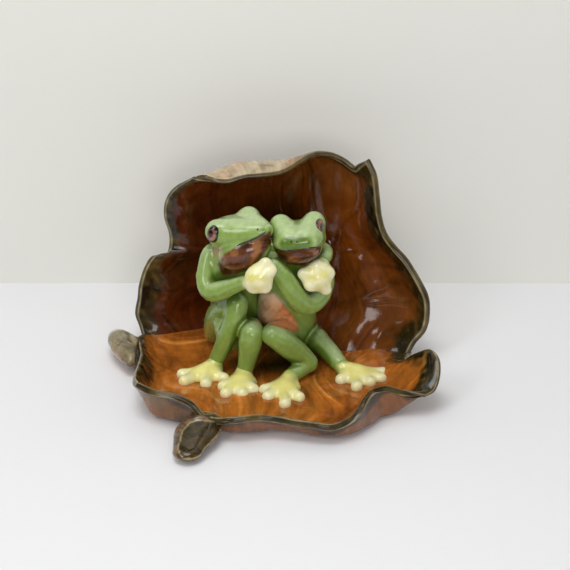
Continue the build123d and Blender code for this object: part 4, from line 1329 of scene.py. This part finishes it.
def make_faces(frogs):
    """Eyes, nostrils and mouth lines on the skins, each with the node that it stands for."""
    trees = {side: tree_of(skin) for side, skin in frogs.items()}
    pieces = []

    def seen(name, pixel):
        return hit(trees[name.split("_")[0]], EYE, ray_of(*pixel))

    def seen_eye(node, pixel, pixel_sizes, pupil):
        spot, way = seen(node, pixel)
        up, *sizes = seen_axes(spot, unit(way), *pixel_sizes)
        sizes = [min(size, limit) for size, limit in zip(sizes, SEEN_EYE_LIMITS)]
        pieces.append((make_eye(node + "_glazed", spot, way, up, *sizes, EYE_RISE, pupil), node))

    def far_eye(node, bump, ball, sizes):
        bump, ball = pair_spot(bump), pair_spot(ball)
        start = ball + unit(ball - bump) * FAR_EYE_START
        spot, way = hit(trees[node.split("_")[0]], start, unit(bump - start))
        facts = (*sizes, FAR_EYE_RISE, FAR_PUPIL)
        pieces.append((make_eye(node + "_glazed", spot, way, (0, 0, 1), *facts), node))

    seen_eye("left_frog_near_eye", (212.3, 234.6), (5.4, 7.9), (-0.20, 0.10))
    far_eye("left_frog_far_eye", LEFT_EYE_BUMPS[1], LEFT_FAR_EYE_BALL, (2.7, 3.6))
    seen_eye("right_frog_near_eye", (320.0, 225.4), (3.8, 7.8), (0.22, -0.16))
    far_eye("right_frog_far_eye", RIGHT_EYE_BUMPS[0], RIGHT_FAR_EYE_BALL, (2.6, 3.4))
    for side, pixels in (("left", LEFT_MOUTH), ("right", RIGHT_MOUTH)):
        pieces.append((make_line(side + "_frog_mouth_line", trees[side], pixels), None))
    for name, pixel in NOSTRILS.items():
        spot, way = seen(name, pixel)
        facts = (*NOSTRIL_SIZES, NOSTRIL_RISE, (0, 0))
        pieces.append((make_eye(name, spot, way, (0.2, 0, 1), *facts), None))
    return pieces


# Glazes
STROKE_SCALE = (46.0, 5.0, 3.0)


def new_material(name):
    """A material, its node tree and its principled shader."""
    material = bpy.data.materials.new(name)
    material.use_nodes = True
    return material, material.node_tree, material.node_tree.nodes["Principled BSDF"]


def fill(tree, node, inputs):
    """Links the inputs that are given as sockets and sets the others."""
    for name, value in inputs.items():
        if isinstance(value, bpy.types.NodeSocket):
            tree.links.new(value, node.inputs[name])
        else:
            node.inputs[name].default_value = value


def add_node(tree, kind, inputs, output=0, **settings):
    """Adds a shader node and gives back one of its outputs."""
    node = tree.nodes.new("ShaderNode" + kind)
    for name, value in settings.items():
        setattr(node, name, value)
    fill(tree, node, inputs)
    return node.outputs[output]


def ranged(tree, value, low, high, new_low, new_high):
    """A value moved from one range to another."""
    return add_node(tree, "MapRange", {
        "Value": value, "From Min": low, "From Max": high, "To Min": new_low, "To Max": new_high,
    })


def glaze(name, grain_size, variation, bump, rough=(0.16, 0.34), shine=0.5, streaked=False):
    """A glossy ceramic glaze over painted colour, with fine mottling and soft waves."""
    material, tree, shader = new_material(name)
    painted = add_node(tree, "Attribute", {}, "Color", attribute_name="paint")
    where = add_node(tree, "TexCoord", {}, "Object")
    mottle = add_node(tree, "TexNoise", {
        "Vector": where, "Scale": grain_size, "Detail": 6.0, "Roughness": 0.62,
    })
    grain = {"Vector": where, "Scale": grain_size * 5, "Detail": 4.0}
    if streaked:
        spread = add_node(tree, "Attribute", {}, "Vector", attribute_name="spread")
        strokes = add_node(tree, "Mapping", {"Vector": spread, "Scale": STROKE_SCALE})
        grain = {"Vector": strokes, "Scale": 1.0, "Detail": 4.0, "Distortion": 0.8}
    fine = add_node(tree, "TexNoise", grain)
    both = add_node(tree, "Math", {0: mottle, 1: fine}, operation="ADD")
    tone = ranged(tree, both, 0.7, 1.3, 1.0 - variation, 1.0 + variation)
    tinted = add_node(tree, "VectorMath", {0: painted, "Scale": tone}, operation="SCALE")
    lumps = add_node(tree, "Bump", {"Strength": bump, "Distance": 0.0008, "Height": fine})
    swell = add_node(tree, "Bump", {
        "Strength": bump * 1.2, "Distance": 0.0012, "Height": mottle, "Normal": lumps,
    })
    coat_swell = add_node(tree, "Bump", {
        "Strength": bump * 0.6, "Distance": 0.0010, "Height": mottle,
    })
    fill(tree, shader, {
        "Base Color": tinted,
        "Roughness": ranged(tree, mottle, 0.3, 0.7, *rough),
        "Normal": swell,
        "Coat Normal": coat_swell,
        "IOR": 1.5,
        "Specular IOR Level": shine,
        "Coat Weight": 1.0,
        "Coat Roughness": 0.09,
        "Coat IOR": 1.42,
    })
    return material


def line_glaze(name, tone):
    """A near-black painted line under clear glaze."""
    material, tree, shader = new_material(name)
    noise = add_node(tree, "TexNoise", {"Scale": 900.0})
    ramp = add_node(tree, "ValToRGB", {"Fac": noise})
    for element, share in zip(ramp.node.color_ramp.elements, (0.6, 1.8)):
        element.color = (*(tone * share), 1.0)
    bump = add_node(tree, "Bump", {"Strength": 0.1, "Distance": 0.0003, "Height": noise})
    fill(tree, shader, {
        "Base Color": ramp, "Normal": bump, "Roughness": 0.25, "Coat Weight": 0.8,
        "Coat Roughness": 0.05,
    })
    return material


# The room
FLOOR_COLOUR = colour(240, 240, 242)
WALL_COLOUR = colour(238, 238, 231)
WALL_BEHIND = 120.7
STAGE_REACH = 3000.0
# Lamps: place, target and size in millimetres, then the power
LAMPS = {
    "top_box": ((-120, -200, 900), (0, 0, 30), (700, 500), 1.9),
    "top_core": ((-120, -200, 890), (0, 0, 30), (420, 300), 1.6),
    "window": ((-500, -500, 600), (0, 0, 50), (240, 340), 1.3),
    "right_fill": ((700, -350, 450), (0, 0, 50), (400, 400), 0.4),
    "low_window": ((90, -830, 290), (45, 30, 20), (320, 220), 1.3),
    "front_soft": ((40, -760, 380), (0, 0, 40), (620, 420), 0.8),
}
UNMIRRORED_LAMP = "front_soft"
SKY_COLOUR = (0.96, 0.97, 1.0, 1.0)
SKY_STRENGTH = 0.11
SENSOR_WIDTH = 36.0


def stage_plane(name, corners, tone, one_sided):
    """A plain pale surface of the room, which may be clear from behind."""
    plane = make_mesh(name, corners, [(0, 1, 2, 3)], smooth=False)
    material, tree, shader = new_material(name)
    fill(tree, shader, {"Base Color": (*tone, 1.0), "Roughness": 0.9, "Specular IOR Level": 0.0})
    if one_sided:
        clear = add_node(tree, "BsdfTransparent", {})
        behind = add_node(tree, "NewGeometry", {}, "Backfacing")
        surface = add_node(tree, "MixShader", {"Fac": behind, 1: shader.outputs["BSDF"], 2: clear})
        fill(tree, tree.nodes["Material Output"], {"Surface": surface})
    plane.data.materials.append(material)


def area_light(name, spot, target, size, power):
    """A soft box that points at a target."""
    data = bpy.data.lights.new(name, "AREA")
    data.shape = "RECTANGLE"
    data.size, data.size_y = size[0] * MM, size[1] * MM
    data.energy = power
    lamp = add_object(name, data)
    lamp.location = Vector(spot) * MM
    way = Vector(target) - Vector(spot)
    lamp.rotation_euler = way.to_track_quat("-Z", "Y").to_euler()
    lamp.visible_glossy = name != UNMIRRORED_LAMP


def make_room():
    """Floor, backdrop, lamps, world and camera."""
    r, w = STAGE_REACH, WALL_BEHIND
    stage_plane("floor", [(-r, -r, 0), (r, -r, 0), (r, r, 0), (-r, r, 0)], FLOOR_COLOUR, False)
    stage_plane("backdrop", [(-r, w, -1), (r, w, -1), (r, w, r), (-r, w, r)], WALL_COLOUR, True)
    for name, facts in LAMPS.items():
        area_light(name, *facts)
    world = bpy.data.worlds.new("room")
    world.use_nodes = True
    sky = world.node_tree.nodes["Background"]
    sky.inputs["Color"].default_value = SKY_COLOUR
    sky.inputs["Strength"].default_value = SKY_STRENGTH
    scene = bpy.context.scene
    scene.world = world
    data = bpy.data.cameras.new("camera")
    data.sensor_width = SENSOR_WIDTH
    data.lens = SENSOR_WIDTH * FOCAL_PIXELS / IMAGE_SIZE
    data.clip_start = 0.01
    scene.camera = add_object("camera", data)
    scene.camera.location = Vector(EYE) * MM
    scene.camera.rotation_euler = (math.pi / 2 - VIEW_DOWN, 0, 0)
    scene.view_settings.view_transform = "Standard"


SKIN_PARTS = ("torso", "head", "jaw", "outer_arm", "inner_arm", "outer_leg", "inner_leg")


def dress(piece, material, slot, *nodes):
    """Gives a piece its glaze and its body, and hides the nodes that it stands for; the slot
    argument is not used.
    """
    piece.data.materials.clear()
    piece.data.materials.append(material)
    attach(piece, "root")
    if nodes:
        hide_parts(*nodes)


def main():
    """Builds the room and every piece, and hides the CAD nodes that each piece stands for."""
    make_room()
    leaf_glaze = glaze("leaf_glaze", 160.0, 0.28, 0.16, shine=0.05, streaked=True)
    stalk_glaze = glaze("stalk_glaze", 260.0, 0.3, 0.16, shine=0.1)
    green_glaze = glaze("frog_green_glaze", 200.0, 0.08, 0.045, (0.26, 0.38), 0.2)
    yellow_glaze = glaze("frog_yellow_glaze", 260.0, 0.07, 0.05, (0.18, 0.3), 0.3)
    eye_glaze = glaze("eye_glaze", 700.0, 0.1, 0.03, (0.1, 0.2))
    ink = line_glaze("line_glaze", colour(20, 14, 10))
    dish, hood = make_leaf()
    dress(dish, leaf_glaze, "leaf_glaze", "leaf_dish")
    dress(hood, leaf_glaze, "leaf_glaze", "leaf_hood")
    dress(make_stalk(), stalk_glaze, "stalk_glaze", "leaf_stalk")
    dress(make_lobe(), stalk_glaze, "stalk_glaze", "leaf_lobe")
    frogs = make_frogs()
    for side, skin in frogs.items():
        nodes = [side + "_frog_" + part for part in SKIN_PARTS]
        dress(skin, green_glaze, "frog_green_glaze", *nodes)
    for name, piece in make_feet_and_hands().items():
        dress(piece, yellow_glaze, "frog_yellow_glaze", name)
    for piece, node in make_faces(frogs):
        nodes = [node] if node else []
        dress(piece, eye_glaze if "eye" in piece.name else ink, "eye_glaze", *nodes)


main()
